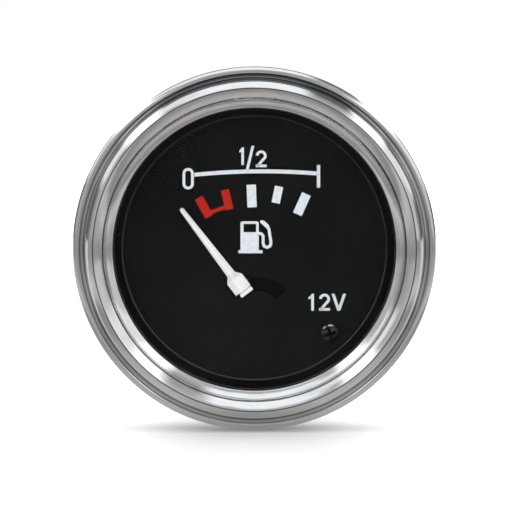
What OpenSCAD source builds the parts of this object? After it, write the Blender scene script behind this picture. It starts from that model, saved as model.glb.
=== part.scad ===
// Electric fuel gauge for a 52 mm panel hole, with its clamp bracket, terminals and dial lamp.
// Everything is drawn with x to the right, y up and z forward to the reader, and z = 0 is the
// front of the panel. facing() then stands the gauge up, so that its dial looks along -Y.

/* [Bezel] */
// Diameter of the register that centres the gauge in its panel hole
register_d = 52; // [50:0.1:54]
// How far the bezel stands out beyond the register
overhang = 4; // [3.8:0.1:5]
// Width of the bezel's ring, from its edge to its opening
bezel_w = 6.75; // [6.4:0.05:7.2]
// Thickness of the bezel's sheet
bezel_sheet = 0.5; // [0.4:0.05:0.6]
// Height of the rolled outer rim
rim_h = 2.6; // [2.4:0.05:2.9]
// Radius of the rolled outer rim
rim_roll = 0.8; // [0.7:0.05:0.9]
// Radius of the valley between the rim and the main ring
valley_roll = 0.45; // [0.35:0.05:0.55]
// Radius of the rounded main ring
ring_roll = 1.9; // [1.7:0.05:2.1]
// Height of the step inside the main ring
ring_step = 0.3; // [0.1:0.05:0.4]
// Width of the face that turns down to the glass
lip_w = 1.65; // [1.4:0.05:1.9]
// Slope of the flat band in degrees
band_slope = 18; // [10:1:24]
// Slope of the inner face in degrees
lip_slope = 43; // [40:1:54]
// Width of the hem that is rolled behind the case flange
hem_w = 3; // [2.4:0.05:3.1]

/* [Body] */
// Length of the register behind the panel's front
register_len = 6; // [4:0.5:8]
// How much smaller the barrel's radius is than the register's
barrel_step = 0.4; // [0.3:0.05:0.6]
// Depth of the case behind the panel's front
case_depth = 32; // [31:0.5:40]
// Thickness of the case's sheet
case_sheet = 0.6; // [0.5:0.05:0.8]
// Room between the case flange's edge and the bezel's
flange_room = 1.1; // [1.05:0.05:1.4]
// Outer radius of the case's rear corner
case_corner = 2.4; // [1.5:0.1:2.8]

/* [Glass and dial] */
// Thickness of the glass
glass_t = 1.8; // [1.5:0.1:2.5]
// Room between the glass's edge and the bezel's
glass_room = 3.2; // [3:0.1:4]
// Thickness of the gasket behind the glass
gasket_t = 0.5; // [0.4:0.05:0.8]
// Thickness of the light ring's flange
ring_flange_t = 0.5; // [0.4:0.05:0.8]
// Room between the glass and the dial
pointer_room = 3.4; // [3:0.1:4.5]
// How far the light ring's foot stands in from the bezel's opening
foot_in = 1.55; // [1.3:0.05:1.8]
// Thickness of the dial plate
dial_t = 0.8; // [0.5:0.1:1]
// Room between the dial plate and the case
dial_room = 0.8; // [0.5:0.1:1.4]
// Thickness of the printed ink
ink_t = 0.06; // [0.04:0.01:0.1]

/* [Scale] */
// Radius of the outer ends of the scale bars about the pointer's pivot
scale_r = 22.4; // [21:0.1:22.6]
// Angle between two bars in degrees
bar_step = 11.6; // [10:0.1:13]
// Width of a bar
bar_w = 1.55; // [1:0.05:2]
// Thickness of the scale line above the bars
line_w = 0.65; // [0.4:0.05:0.9]
// Radius of the shallow arc that the scale line follows
line_r = 112; // [80:1:140]
// Height of the scale line's middle above the pivot
line_up = 24.6; // [24:0.1:25]
// How far the scale line's ends stand in from the light ring's foot
line_in = 11.6; // [11.4:0.1:12.5]
// Height of the fuel pump sign
pump_h = 5.3; // [4:0.05:6]

/* [Pointer] */
// Pivot, to the right of the dial's centre
pivot_x = 0.4; // [-1:0.1:1]
// Height of the pivot above the bottom of the case's bore
pivot_up = 13.1; // [12.4:0.1:14]
// Length of the pointer from its pivot
pointer_len = 22.4; // [20:0.1:22.8]
// Half of the pointer's whole swing in degrees
half_swing = 35.5; // [30:0.5:38]
// Width of the blade at its hub
blade_w = 1.55; // [1.2:0.05:1.8]
// Width of the blade at its tip
tip_w = 0.75; // [0.5:0.05:1]
// Width of the hub
hub_w = 3; // [2.6:0.1:3.2]
// Radius of the pointer's spindle
spindle_r = 0.6; // [0.5:0.05:0.8]

/* [Movement] */
// Distance from the dial's back to the movement plate's back
movement_drop = 15; // [14.5:0.5:16]
// Thickness of the movement plate
plate_t = 1; // [0.8:0.1:1.5]
// How much smaller the movement plate's radius is than the bore's
plate_in = 11.4; // [11.2:0.1:12]
// Thickness of the moulded base
base_t = 2; // [1.5:0.1:2.5]
// Thickness of the two-metal strip
strip_t = 0.4; // [0.3:0.05:0.5]
// Width of each leg of the strip
strip_w = 2.8; // [2:0.1:3]
// Room between the strip and the lamp's bulb
strip_room = 3.7; // [3:0.1:5]
// Distance from the spindle to the pin on the strip
lever_arm = 2.5; // [2.2:0.1:2.8]
// Distance between two turns of heater wire
turn_step = 0.5; // [0.4:0.05:0.8]

/* [Terminals and lamp] */
// Distance from each terminal's axis to the pillar beside it
terminal_in = 6; // [5.8:0.1:6.4]
// Height of the terminals above the bottom of the case's bore
terminal_up = 11; // [10.5:0.1:12]
// Radius of a terminal stud
terminal_r = 2.5; // [2:0.1:2.5]
// Length of a terminal stud behind the case
terminal_out = 13; // [12:0.5:18]
// Width across the flats of the terminal nuts
nut_flats = 8; // [7.5:0.5:8]
// Radius of the lamp hole
lamp_hole_r = 7; // [6:0.1:7.2]
// Room between the lamp hole and the case's bore
lamp_in = 3.2; // [3:0.1:3.6]
// Radius of the lamp's bulb
bulb_r = 4.4; // [4:0.1:4.6]
// Length of the lamp's bulb in front of its cap
bulb_len = 10; // [9:0.5:12]

/* [Clamp bracket] */
// Distance from each mounting stud's axis to the case's bore
stud_in = 8.5; // [7.5:0.1:9.5]
// Radius of a mounting stud
stud_r = 2; // [1.5:0.1:2.5]
// Length of the mounting studs behind the case
stud_out = 20.5; // [20.5:0.5:26]
// Width of the bracket
bracket_w = 11; // [10:0.5:12]
// Thickness of the bracket's sheet
bracket_t = 1.2; // [1:0.1:1.4]
// Room between the panel and the bracket's legs as sold
panel_gap = 6; // [5:0.5:8]
// Thinnest panel that the bracket can clamp
thin_panel = 1; // [0.8:0.1:2]
// Height of the thumb nuts
thumb_nut_h = 6; // [5:0.5:6]
// Radius of the thumb nuts
thumb_nut_r = 5; // [4.5:0.1:5.2]

/* [Hidden] */
$fn = 96;

// Clearances
run_gap = 0.05;      // a spindle in its bearing
fix_gap = 0.01;      // pieces that are staked or moulded on
loose_gap = 0.2;     // a screw or a stud in its hole
end_gap = 0.2;       // end play of the spindle
leg_gap = 1.2;       // the bracket's legs beside the register
web_gap = 1;         // the bracket's web behind the case, on the thinnest panel
over = 1;            // how far a cutting shape runs past the wall that it cuts

// Levels along z, from the panel forward
flange_z = bezel_sheet;
ring_seat_z = flange_z + case_sheet;
gasket_z = ring_seat_z + ring_flange_t;
glass_z = gasket_z + gasket_t;
lip_z = glass_z + glass_t;
dial_z = glass_z - pointer_room;
dial_back_z = dial_z - dial_t;

// Levels inside the case
plate_back_z = dial_back_z - movement_drop;
plate_front_z = plate_back_z + plate_t;
back_z = -case_depth;
floor_z = back_z + case_sheet;
base_z = floor_z + base_t;
adjuster_t = 1;
bridge_t = 0.8;
bridge_drop = 3.5;
bridge_z = dial_back_z - bridge_drop;
bridge_back_z = bridge_z - bridge_t;
arm_t = 0.6;
arm_rise = 1.2;
arm_z = bridge_z + arm_rise;
lever_t = 1;
lever_rise = 1;
lever_z = (plate_front_z + bridge_back_z) / 2 + lever_rise;

// Radii
register_r = register_d / 2;
bezel_r = register_r + overhang;
aperture_r = bezel_r - bezel_w;
crease_r = aperture_r + lip_w;
hem_r = bezel_r - hem_w;
flange_r = bezel_r - flange_room;
glass_r = bezel_r - glass_room;
dial_view_r = aperture_r - foot_in;
dial_r = register_r - case_sheet - dial_room;
barrel_r = register_r - barrel_step;
bore_r = barrel_r - case_sheet;
floor_r = bore_r - (case_corner - case_sheet);

// Places in plan
pivot = [pivot_x, pivot_up - bore_r];
screw_r = 1;
screw_in = 2.7;      // from the light ring's foot to the dial screw
screw_angle = 48.6;
screw_at = (dial_view_r - screw_in) * [cos(screw_angle), -sin(screw_angle)];
terminal_pitch = 2 * (screw_at.x - terminal_in);
terminal_drop = bore_r - terminal_up;
stud_pitch = 2 * (bore_r - stud_in);
lamp_y = bore_r - lamp_in - lamp_hole_r;
cap_r = bulb_r + 0.1;

// A round stretch of an outline, from one angle to another
function arc(centre, r, from, to, steps) =
    [for (i = [0:steps]) centre + r * [cos(from + (to - from) * i / steps),
                                       sin(from + (to - from) * i / steps)]];

// Stands the drawing up: its z axis becomes -Y and its y axis becomes +Z
module facing() rotate([90, 0, 0]) children();

// A round disc or shaft between two levels
module shaft(r, from, to) translate([0, 0, from]) cylinder(r = r, h = to - from);

// A flat shape given thickness between two levels
module slab(from, to) translate([0, 0, from]) linear_extrude(to - from) children();

// A ring between two levels
module collar(outer, inner, from, to) difference() {
    shaft(outer, from, to);
    shaft(inner, from - over, to + over);
}

// A straight stroke of ink with square ends
module stroke(a, b, w)
    translate(a) rotate(atan2(b.y - a.y, b.x - a.x)) translate([0, -w / 2])
        square([norm(b - a), w]);

// A chain of strokes with round joints
module strokes(points, w) {
    for (i = [0:len(points) - 2]) stroke(points[i], points[i + 1], w);
    for (p = points) translate(p) circle(r = w / 2);
}

// Both places on a level line, left and right of the axis
module pair(pitch, y) for (side = [-1, 1]) translate([side * pitch / 2, y, 0]) children();

// Bezel: one pressed ring, rolled behind the case flange and turned down to the glass
rim_c = [bezel_r - rim_roll, rim_roll];
bead_c = [bezel_r - rim_roll, rim_h - rim_roll];
bead_end = 120;      // angle at which the rim's bead meets the valley
valley_end = 190;    // angle at which the valley meets the wall of the main ring
ring_start = 10;     // angle of the main ring's arc at that wall
ring_end = 86;       // angle of the main ring's arc at its step
lip_roll = 0.3;
valley_c = bead_c + (rim_roll + valley_roll) * [cos(bead_end), sin(bead_end)];
valley_foot = valley_c + valley_roll * [cos(valley_end), sin(valley_end)];
lip_c = [aperture_r + lip_roll, lip_z + 0.1];
lip_start = lip_c + lip_roll * [cos(90 + lip_slope), sin(90 + lip_slope)];
crease = [crease_r, lip_start.y + (crease_r - lip_start.x) * tan(lip_slope)];
ring_c_guess_r = valley_foot.x - ring_roll;
band_top_z = crease.y + (ring_c_guess_r - crease_r) * tan(band_slope);
ring_top = band_top_z + ring_step;
wall_top_z = ring_top - ring_roll * (1 - sin(ring_start));
wall_top = [valley_foot.x - (wall_top_z - valley_foot.y) * tan(ring_start), wall_top_z];
ring_c = wall_top - ring_roll * [cos(ring_start), sin(ring_start)];
step_r = ring_c.x + ring_roll * cos(ring_end);
step_foot = [step_r, crease.y + (step_r - crease_r) * tan(band_slope)];

module bezel() facing() color("silver") rotate_extrude() polygon(concat(
    [[hem_r, 0]],
    arc(rim_c, rim_roll, -90, 0, 4),
    arc(bead_c, rim_roll, 0, bead_end, 8),
    arc(valley_c, valley_roll, 180 + bead_end, valley_end, 5),
    arc(ring_c, ring_roll, ring_start, ring_end, 8),
    [step_foot, crease],
    arc(lip_c, lip_roll, 90 + lip_slope, 180, 3),
    [[aperture_r, lip_z], [aperture_r + bezel_sheet, lip_z]],
    [[aperture_r + bezel_sheet, lip_c.y + bezel_sheet / 2]],
    [crease - bezel_sheet * [0.6, 1], step_foot - bezel_sheet * [0.6, 1]],
    arc(ring_c, ring_roll - bezel_sheet, ring_end, ring_start, 8),
    arc(valley_c, valley_roll + bezel_sheet, valley_end, 180 + bead_end, 5),
    arc(bead_c, rim_roll - bezel_sheet, bead_end, 0, 8),
    arc(rim_c, rim_roll - bezel_sheet, 0, -90, 4),
    [[hem_r, bezel_sheet]]
));

// Glass, its gasket and the black ring that leads the lamp's light to the dial
module glass() facing() color("lightcyan", 0.3) shaft(glass_r, glass_z, lip_z);

module glass_gasket() facing() color("dimgray")
    collar(glass_r, aperture_r + 0.15, gasket_z, glass_z);

ring_wall = 0.8;
ring_lean = 1.4;     // how much wider the light ring is at the glass than at the dial
module light_ring() facing() color("black") rotate_extrude() polygon([
    [dial_view_r, dial_z], [dial_view_r + ring_lean, gasket_z], [glass_r, gasket_z],
    [glass_r, ring_seat_z], [dial_view_r + ring_lean + ring_wall, ring_seat_z],
    [dial_view_r + ring_wall, dial_z]
]);

// The case: a drawn can with a flange in front and holes in its back
case_hole_r = 3.6;
tool_hole_r = 2;
adjuster_at = pivot + [-7.9, 5.9];
tool_hole = adjuster_at + [-5.9, -1.6];
module case() facing() color("gainsboro") difference() {
    rotate_extrude() polygon(concat(
        [[register_r - case_sheet, ring_seat_z], [flange_r, ring_seat_z],
         [flange_r, flange_z], [register_r, flange_z], [register_r, -register_len],
         [barrel_r, -register_len - (register_r - barrel_r)]],
        arc([barrel_r - case_corner, back_z + case_corner], case_corner, 0, -90, 6),
        [[0, back_z], [0, floor_z]],
        arc([barrel_r - case_corner, back_z + case_corner],
            case_corner - case_sheet, -90, 0, 6),
        [[bore_r, -register_len - (register_r - barrel_r)],
         [register_r - case_sheet, -register_len]]
    ));
    through_back() {
        pair(stud_pitch, 0) circle(r = stud_r + loose_gap);
        pair(terminal_pitch, -terminal_drop) circle(r = case_hole_r);
        translate([0, lamp_y]) circle(r = lamp_hole_r);
        translate(tool_hole) circle(r = tool_hole_r);
    }
}

module through_back() slab(back_z - over, floor_z + over) children();

// Dial plate, with the slot that the pointer's arm comes up through
slot_inner = 4.7;
slot_outer = 7;
slot_spare = 9;      // how far the slot runs past the swing, in degrees
module dial_plate() facing() color("black") slab(dial_back_z, dial_z) difference() {
    circle(r = dial_r);
    translate(pivot) intersection() {
        difference() {
            circle(r = slot_outer);
            circle(r = slot_inner);
        }
        sector(slot_outer, half_swing + slot_spare);
    }
    translate(screw_at) circle(r = screw_r + loose_gap / 2);
}

// A wedge about straight up, open by an angle to each side
module sector(r, angle) polygon([
    [0, 0], 2 * r * [-sin(angle), cos(angle)], [0, 3 * r], 2 * r * [sin(angle), cos(angle)]
]);

// Ink lies on the front of the dial
module ink() slab(dial_z, dial_z + ink_t) children();

// White print: scale line, empty and full marks, bars and pump sign
line_y = pivot.y + line_up;
line_half = dial_view_r - line_in;
line_x = 0.15;       // middle of the scale line
line_crown_x = 1.4;  // where the scale line is highest
mark_room = 0.08;    // between the scale line and the marks at its ends
zero_size = [1.87, 3.55];
zero_at = [line_x - line_half - mark_room - zero_size.x / 2, line_y - 1.22];
zero_stroke = 0.46;
end_bar = [0.55, 3.73];
module scale_print() facing() color("white") ink() {
    translate([line_crown_x, line_y - line_r]) intersection() {
        difference() {
            circle(r = line_r + line_w / 2, $fn = 720);
            circle(r = line_r - line_w / 2, $fn = 720);
        }
        translate([line_x - line_crown_x - line_half, line_r - 2]) square([2 * line_half + run_gap, 3]);
    }
    translate(zero_at) difference() {
        rounded(zero_size, 0.93);
        rounded(zero_size - 2 * [zero_stroke, zero_stroke], 0.46);
    }
    translate([line_x + line_half + mark_room + end_bar.x / 2, line_y - 0.83])
        square(end_bar, center = true);
    bar(0, 3.74, bar_w, 0);
    bar(1, 2.8, bar_w - 0.17, 2.65);
    bar(2, 3.68, bar_w, 3);
    pump();
}

// A rectangle with round corners, about its middle
module rounded(size, r) {
    square(size - [2 * r, 0], center = true);
    square(size - [0, 2 * r], center = true);
    for (sx = [-1, 1], sy = [-1, 1])
        translate([sx * (size.x / 2 - r), sy * (size.y / 2 - r)]) circle(r = r);
}

// Bar number i, counted from the middle bar to the right, with its outer end a little inside the
// scale's radius and turned further outward about its middle by an angle
bar_lean = -2.4;
bar_widening = 0.115;
module bar(i, len, w, turn, inside = 0)
    translate(pivot) rotate(-(bar_lean + i * bar_step + i * i * bar_widening))
        translate([0, scale_r - inside - len / 2]) rotate(-turn) square([w, len], center = true);

// Fuel pump sign: body with a window, foot, hose and nozzle
pump_at = pivot + [-3.06, 11.02];
pump_w = 3.03;
pump_line = 0.48;
pump_corner = 0.4;
pump_foot = [4, 0.5];
window_size = [2.08, 1.38];
hose = [[3.3, 3.3], [3.8, 3.25], [4.1, 2.87], [4.1, 1.63], [4.25, 1.19], [4.76, 0.97],
        [5.24, 1.19], [5.42, 1.7], [5.04, 4.11], [3.84, pump_h - 0.07]];
module pump() translate(pump_at) {
    difference() {
        translate([(pump_foot.x - pump_w) / 2 - 0.14 + pump_w / 2, pump_h / 2])
            rounded([pump_w, pump_h], pump_corner);
        translate([0.86, pump_h - 0.43 - window_size.y]) square(window_size);
        translate([-over, -over]) square([pump_w + 2 * over, over]);
    }
    square(pump_foot);
    strokes(hose, pump_line);
    stroke([3.95, 5.25], [4.95, 4.35], 0.62);
}

// Red print: the two reserve bars and the link between their feet
module reserve_print() facing() color("firebrick") ink() {
    bar(-2, 3.6, bar_w - 0.12, -4.3);
    bar(-1, 3.34, bar_w - 0.2, 0.7, 0.22);
    translate(pivot) stroke([-7.7, 17.77], [-5.2, 18.7], 0.62);
}

// Cross-recessed screw that holds the dial on its pillar
screw_head_r = 1.65;
screw_head_h = 1.05;
screw_len = 5;
screw_slot = 0.45;
module dial_screw() facing() color("black") translate([screw_at.x, screw_at.y, dial_z]) {
    difference() {
        rotate_extrude() polygon(concat([[0, 0], [screw_head_r, 0]],
            [for (a = [0:15:90]) [screw_head_r * cos(a), 0.35 + (screw_head_h - 0.35) * sin(a)]]));
        for (turn = [0, 90]) rotate(turn)
            translate([-0.9, -screw_slot / 2, screw_head_h - 0.6]) cube([1.8, screw_slot, 1]);
    }
    shaft(screw_r, -screw_len, 0);
}

// Places a piece that turns with the pointer, drawn as if the pointer stood straight up
module on_pointer() translate([pivot.x, pivot.y, 0]) rotate(half_swing) children();

// A section drawn in x and z, run along y
module along_y(from, to) translate([0, to, 0]) rotate([90, 0, 0]) linear_extrude(to - from)
    children();

// Pointer: a white moulding, ridged along its blade, with a block where its arm goes in. It sits
// beside the line through the pivot and leans back towards it
pointer_side = 1.18;
pointer_turn = 1.77;
pointer_z = dial_z + 0.55;
hub_from = 5.3;
hub_to = 7.7;
shoulder = 0.9;
hub_h = 1.5;
hub_side = 0.7;
blade_h = 0.85;
blade_side = 0.3;
end_tab = [2.4, 0.85, 0.6];
end_tab_x = 0.25;
tab_x = 0.25;
tab_w = 1.1;
tab_r = 6;
tab_top = pointer_z + 0.5;
module pointer() facing() color("white") on_pointer() translate([0, 0, pointer_z]) difference() {
    translate([pointer_side, 0]) rotate(pointer_turn) {
        intersection() {
            slab(0, blade_h) blade_outline();
            along_y(hub_to, pointer_len) roof(blade_w, blade_side, blade_h, 0.06);
        }
        intersection() {
            slab(0, hub_h) hub_outline();
            along_y(hub_from, hub_to + shoulder) roof(hub_w, hub_side, hub_h, 0.45);
        }
        translate([end_tab_x - end_tab.x / 2, hub_from - end_tab.y, 0])
            cube(end_tab + [0, fix_gap, 0]);
    }
    translate([tab_x - tab_w / 2 - fix_gap, tab_r - fix_gap, -over])
        cube([tab_w + 2 * fix_gap, arm_t + 2 * fix_gap, over + tab_top - pointer_z + fix_gap]);
}

module blade_outline() {
    polygon([[-blade_w / 2, hub_to], [blade_w / 2, hub_to],
             [tip_w / 2, pointer_len - tip_w / 2], [-tip_w / 2, pointer_len - tip_w / 2]]);
    translate([0, pointer_len - tip_w / 2]) circle(r = tip_w / 2);
}

module hub_outline() polygon([
    [-hub_w / 2, hub_from], [hub_w / 2, hub_from], [hub_w / 2, hub_to],
    [blade_w / 2, hub_to + shoulder], [-blade_w / 2, hub_to + shoulder], [-hub_w / 2, hub_to]
]);

// A ridge section: width, height of its sides, height of its top and half the top's width
module roof(w, side, top, flat) polygon([
    [-w / 2, 0], [w / 2, 0], [w / 2, side], [flat, top], [-flat, top], [-w / 2, side]
]);

// Arm: a strip of sheet on the spindle, bent up through the dial's slot
module pointer_arm() facing() color("silver") on_pointer() {
    slab(arm_z - arm_t, arm_z) difference() {
        union() {
            circle(r = 3 * spindle_r);
            translate([tab_x - tab_w / 2, 0]) square([tab_w, tab_r + arm_t]);
        }
        circle(r = spindle_r + fix_gap);
    }
    translate([tab_x - tab_w / 2, tab_r, arm_z - arm_t])
        cube([tab_w, arm_t, tab_top - arm_z + arm_t]);
}

// Spindle, with a thicker middle between its two bearings
spindle_middle_r = 1.5 * spindle_r;
bearing_h = 0.9;
module pointer_spindle() facing() color("lightgray") on_pointer() {
    shaft(spindle_r, plate_back_z - 0.5, arm_z + 0.3);
    shaft(spindle_middle_r, plate_front_z + bearing_h + end_gap, bridge_back_z - end_gap);
}

// Lever on the spindle, with a fork for the strip's pin
lever_len = lever_arm / cos(half_swing) + 0.85;
fork_w = 0.9;
pin_r = 0.3;
module drive_lever() facing() color("goldenrod") on_pointer()
    slab(lever_z - lever_t / 2, lever_z + lever_t / 2) difference() {
        union() {
            circle(r = spindle_middle_r + 0.7);
            translate([-1.1, 0]) square([2.2, lever_len]);
        }
        circle(r = spindle_middle_r + fix_gap);
        translate([-fork_w / 2, 2]) square([fork_w, lever_len]);
    }

// Front bearing: a strip of sheet bent into a bridge over the lever
bridge_half = 4.6;
bridge_foot = 2.6;
bridge_w = 4;
module bearing_bridge() facing() color("silver") translate([pivot.x, pivot.y, 0]) difference() {
    along_y(-bridge_w / 2, bridge_w / 2) bridge_section();
    shaft(spindle_r + run_gap, bridge_back_z - over, bridge_z + over);
    for (side = [-1, 1]) translate([side * rivet_x, 0])
        shaft(rivet_r + fix_gap, plate_front_z - over, plate_front_z + bridge_t + over);
}

module bridge_section() difference() {
    union() {
        translate([-bridge_half - bridge_t, plate_front_z])
            square([2 * (bridge_half + bridge_t), bridge_z - plate_front_z]);
        translate([-bridge_half - bridge_t - bridge_foot, plate_front_z])
            square([2 * (bridge_half + bridge_t + bridge_foot), bridge_t]);
    }
    translate([-bridge_half, plate_front_z - over])
        square([2 * bridge_half, over + bridge_back_z - plate_front_z]);
}

// Rivets through the bridge's feet
rivet_r = 0.8;
rivet_head_r = 1.3;
rivet_head_h = 0.5;
rivet_x = bridge_half + bridge_t + bridge_foot / 2 + 0.1;
module rivet(back, front) {
    shaft(rivet_r, back, front);
    shaft(rivet_head_r, back - rivet_head_h, back);
    shaft(rivet_head_r, front, front + rivet_head_h);
}

module bridge_rivets() facing() color("silver")
    translate([pivot.x, pivot.y, 0]) for (side = [-1, 1]) translate([side * rivet_x, 0])
        rivet(plate_back_z, plate_front_z + bridge_t);

// Movement plate, which carries the bearings and the zero adjuster
plate_c = pivot + [0, 4.9];
plate_r = bore_r - plate_in;
post_angles = [50, 130, 270];
post_ring_r = plate_r - 1.9;
function post_at(i) = plate_c + post_ring_r * [cos(post_angles[i]), sin(post_angles[i])];
lead_x = terminal_pitch / 2 + 1.1;
lead_y = -terminal_drop - 1;
pillar_r = 2.2;
pillar_high = (bore_r - 10.3) * [cos(30), sin(30)];
module movement_plate() facing() color("silver") {
    slab(plate_back_z, plate_front_z) difference() {
        translate(plate_c) circle(r = plate_r);
        for (side = [-1, 1]) translate([side * screw_at.x, screw_at.y]) circle(r = pillar_r + 0.4);
        for (side = [-1, 1]) translate([side * lead_x, lead_y]) circle(r = 4 * wire_r);
        for (i = [0:2]) translate(post_at(i)) circle(r = screw_r + loose_gap / 2);
        for (side = [-1, 1]) translate([pivot.x + side * rivet_x, pivot.y])
            circle(r = rivet_r + fix_gap);
        translate(adjuster_at) circle(r = rivet_r + fix_gap);
        translate([strip_x - anchor_t - 0.8, anchor_y - 0.8])
            square([anchor_t + 1.4, anchor_w + 1.6]);
        translate(pivot) circle(r = spindle_r + run_gap);
    }
    translate([pivot.x, pivot.y, 0])
        collar(1.4, spindle_r + run_gap, plate_front_z, plate_front_z + bearing_h);
}

// Screws that hold the movement plate on its posts
plate_screw_r = 1.8;
plate_screw_h = 1.2;
module plate_screws() facing() color("gainsboro") for (i = [0:2]) translate(post_at(i)) {
    shaft(screw_r, plate_back_z - screw_len, plate_front_z);
    difference() {
        shaft(plate_screw_r, plate_front_z, plate_front_z + plate_screw_h);
        translate([-plate_screw_r, -0.25, plate_front_z + 0.6])
            cube([2 * plate_screw_r, 0.5, plate_screw_h]);
    }
}

// Strip of two metals: a U on edge, welded to the zero adjuster at the end of its rear leg,
// with a pin in the lever's fork at the end of its front leg
strip_x = pivot.x - lever_arm * tan(half_swing);
strip_pin_y = pivot.y + lever_arm;
tongue_len = 2;
strip_y = strip_pin_y + tongue_len;
strip_len = lamp_y - cap_r - strip_room - strip_y;
leg_space = 1.2;
rear_leg_z = plate_front_z + 0.8;
front_leg_z = rear_leg_z + strip_w + leg_space;
strip_top_z = front_leg_z + strip_w;
tongue_w = 0.8;
module bimetal_strip() facing() color("peru") {
    translate([strip_x - strip_t / 2, 0, 0]) {
        translate([0, strip_y, rear_leg_z]) cube([strip_t, strip_len, strip_w]);
        translate([0, strip_y, front_leg_z]) cube([strip_t, strip_len, strip_w]);
        translate([0, strip_y + strip_len - strip_w, rear_leg_z])
            cube([strip_t, strip_w, strip_top_z - rear_leg_z]);
        translate([0, strip_pin_y - pin_r, strip_top_z - tongue_w])
            cube([strip_t, strip_y - strip_pin_y + pin_r + over, tongue_w]);
    }
    translate([strip_x, strip_pin_y, 0])
        shaft(pin_r, lever_z - lever_t / 2 - 0.4, strip_top_z - tongue_w / 2);
}

// Heater: resistance wire wound round the front leg, with its two ends led to the terminals
winding_margin = 1.8;
winding_y = strip_y + winding_margin;
heater_turns = floor((strip_len - strip_w - winding_margin - 1) / turn_step);
winding_wall = 0.4;
wire_r = 0.2;
lead_bow = 4;        // how far the leads stand off the strip
module heater_winding() facing() color("tan") {
    winding_len = heater_turns * turn_step;
    winding_z = front_leg_z + strip_w / 2;
    lead_z = stud_head_z + terminal_head_h;
    translate([strip_x, winding_y, winding_z]) difference() {
        for (i = [0:heater_turns - 1]) translate([0, (i + 0.5) * turn_step, 0]) {
            winding_turn(winding_wall, turn_step / 2);
            winding_turn(0.6 * winding_wall, turn_step + fix_gap);
        }
        cube([strip_t + 2 * run_gap, 3 * winding_len, strip_w + 2 * run_gap], center = true);
    }
    lead([-lead_x, lead_y, lead_z], [-lead_x, lead_y, rear_leg_z + strip_w],
         [strip_x - lead_bow, winding_y, front_leg_z + winding_wall],
         [strip_x - strip_t / 2 - 0.3, winding_y + 1.2 * turn_step, winding_z]);
    lead([lead_x, lead_y, lead_z], [lead_x, lead_y, rear_leg_z + strip_w],
         [strip_x + 2 * lead_bow, winding_y + winding_len, front_leg_z + winding_wall],
         [strip_x + strip_t / 2 + 0.3, winding_y + winding_len - 1.2 * turn_step, winding_z]);
}

module winding_turn(wall, thick)
    cube([strip_t + 2 * wall, thick, strip_w + 2 * wall], center = true);

// A stiff wire through four points
module lead(a, b, c, d) {
    rod(a, b);
    rod(b, c);
    rod(c, d);
    for (bend = [b, c]) translate(bend) sphere(r = 1.1 * wire_r);
}

module rod(a, b) {
    d = b - a;
    translate(a) rotate([0, acos(d.z / norm(d)), atan2(d.y, d.x)])
        cylinder(r = wire_r, h = norm(d));
}

// Zero adjuster: a plate behind the movement plate, with teeth that a tool reaches through the
// case's back and a tab bent forward to the strip
anchor_t = 1;
anchor_w = 2.6;
anchor_y = strip_y;
sector_r = 5;
adjuster_hub_r = 2.4;
tooth_step = 7;
module zero_adjuster() facing() color("goldenrod") {
    slab(plate_back_z - adjuster_t, plate_back_z) difference() {
        union() {
            translate(adjuster_at) {
                circle(r = adjuster_hub_r);
                rotate(90) intersection() {
                    circle(r = sector_r);
                    sector(sector_r, 32);
                }
                for (a = [-4:4]) rotate(180 + a * tooth_step)
                    translate([sector_r - 0.1, -0.17]) square([0.5, 0.34]);
            }
            translate([adjuster_at.x, anchor_y])
                square([strip_x - strip_t / 2 - adjuster_at.x, anchor_w]);
        }
        translate(adjuster_at) circle(r = rivet_r + fix_gap);
    }
    translate([strip_x - strip_t / 2 - anchor_t, anchor_y, plate_back_z - adjuster_t])
        cube([anchor_t, anchor_w, rear_leg_z + strip_w - plate_back_z + adjuster_t]);
}

module adjuster_rivet() facing() color("silver") translate(adjuster_at)
    rivet(plate_back_z - adjuster_t, plate_front_z);

// Moulded base: floor, terminal bosses, posts for the movement plate and pillars for the dial
base_gap = 0.2;
boss_r = 4.2;
boss_h = 1;
post_r = 2.2;
stud_head_r = 3.4;
boss_room = 0.4;
stud_head_h = 1.2;
stud_head_z = base_z + boss_h;
terminal_head_r = 2.9;
terminal_head_h = 1.5;
module base_moulding() facing() color("saddlebrown") difference() {
    union() {
        slab(floor_z, base_z) difference() {
            circle(r = floor_r - base_gap);
            translate([0, lamp_y]) circle(r = lamp_hole_r + base_gap);
            translate([-lamp_hole_r - base_gap, lamp_y])
                square([2 * (lamp_hole_r + base_gap), bore_r]);
        }
        pair(terminal_pitch, -terminal_drop) shaft(boss_r, floor_z, stud_head_z);
        for (i = [0:2]) translate(post_at(i)) shaft(post_r, floor_z, plate_back_z);
        for (side = [-1, 1]) {
            translate([side * screw_at.x, screw_at.y]) shaft(pillar_r, floor_z, dial_back_z);
            translate([side * pillar_high.x, pillar_high.y])
                shaft(pillar_r, floor_z, dial_back_z);
        }
    }
    pair(terminal_pitch, -terminal_drop)
        shaft(terminal_r + loose_gap / 2, floor_z - over, stud_head_z + over);
    pair(stud_pitch, 0) shaft(stud_head_r + boss_room, floor_z - over, base_z + over);
    translate(tool_hole) shaft(tool_hole_r + boss_room, floor_z - over, base_z + over);
    for (i = [0:2]) translate(post_at(i))
        shaft(screw_r + fix_gap, plate_back_z - screw_len - 1, plate_back_z + over);
    translate(screw_at) shaft(screw_r + fix_gap, dial_z - screw_len - 1, dial_back_z + over);
}

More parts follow.
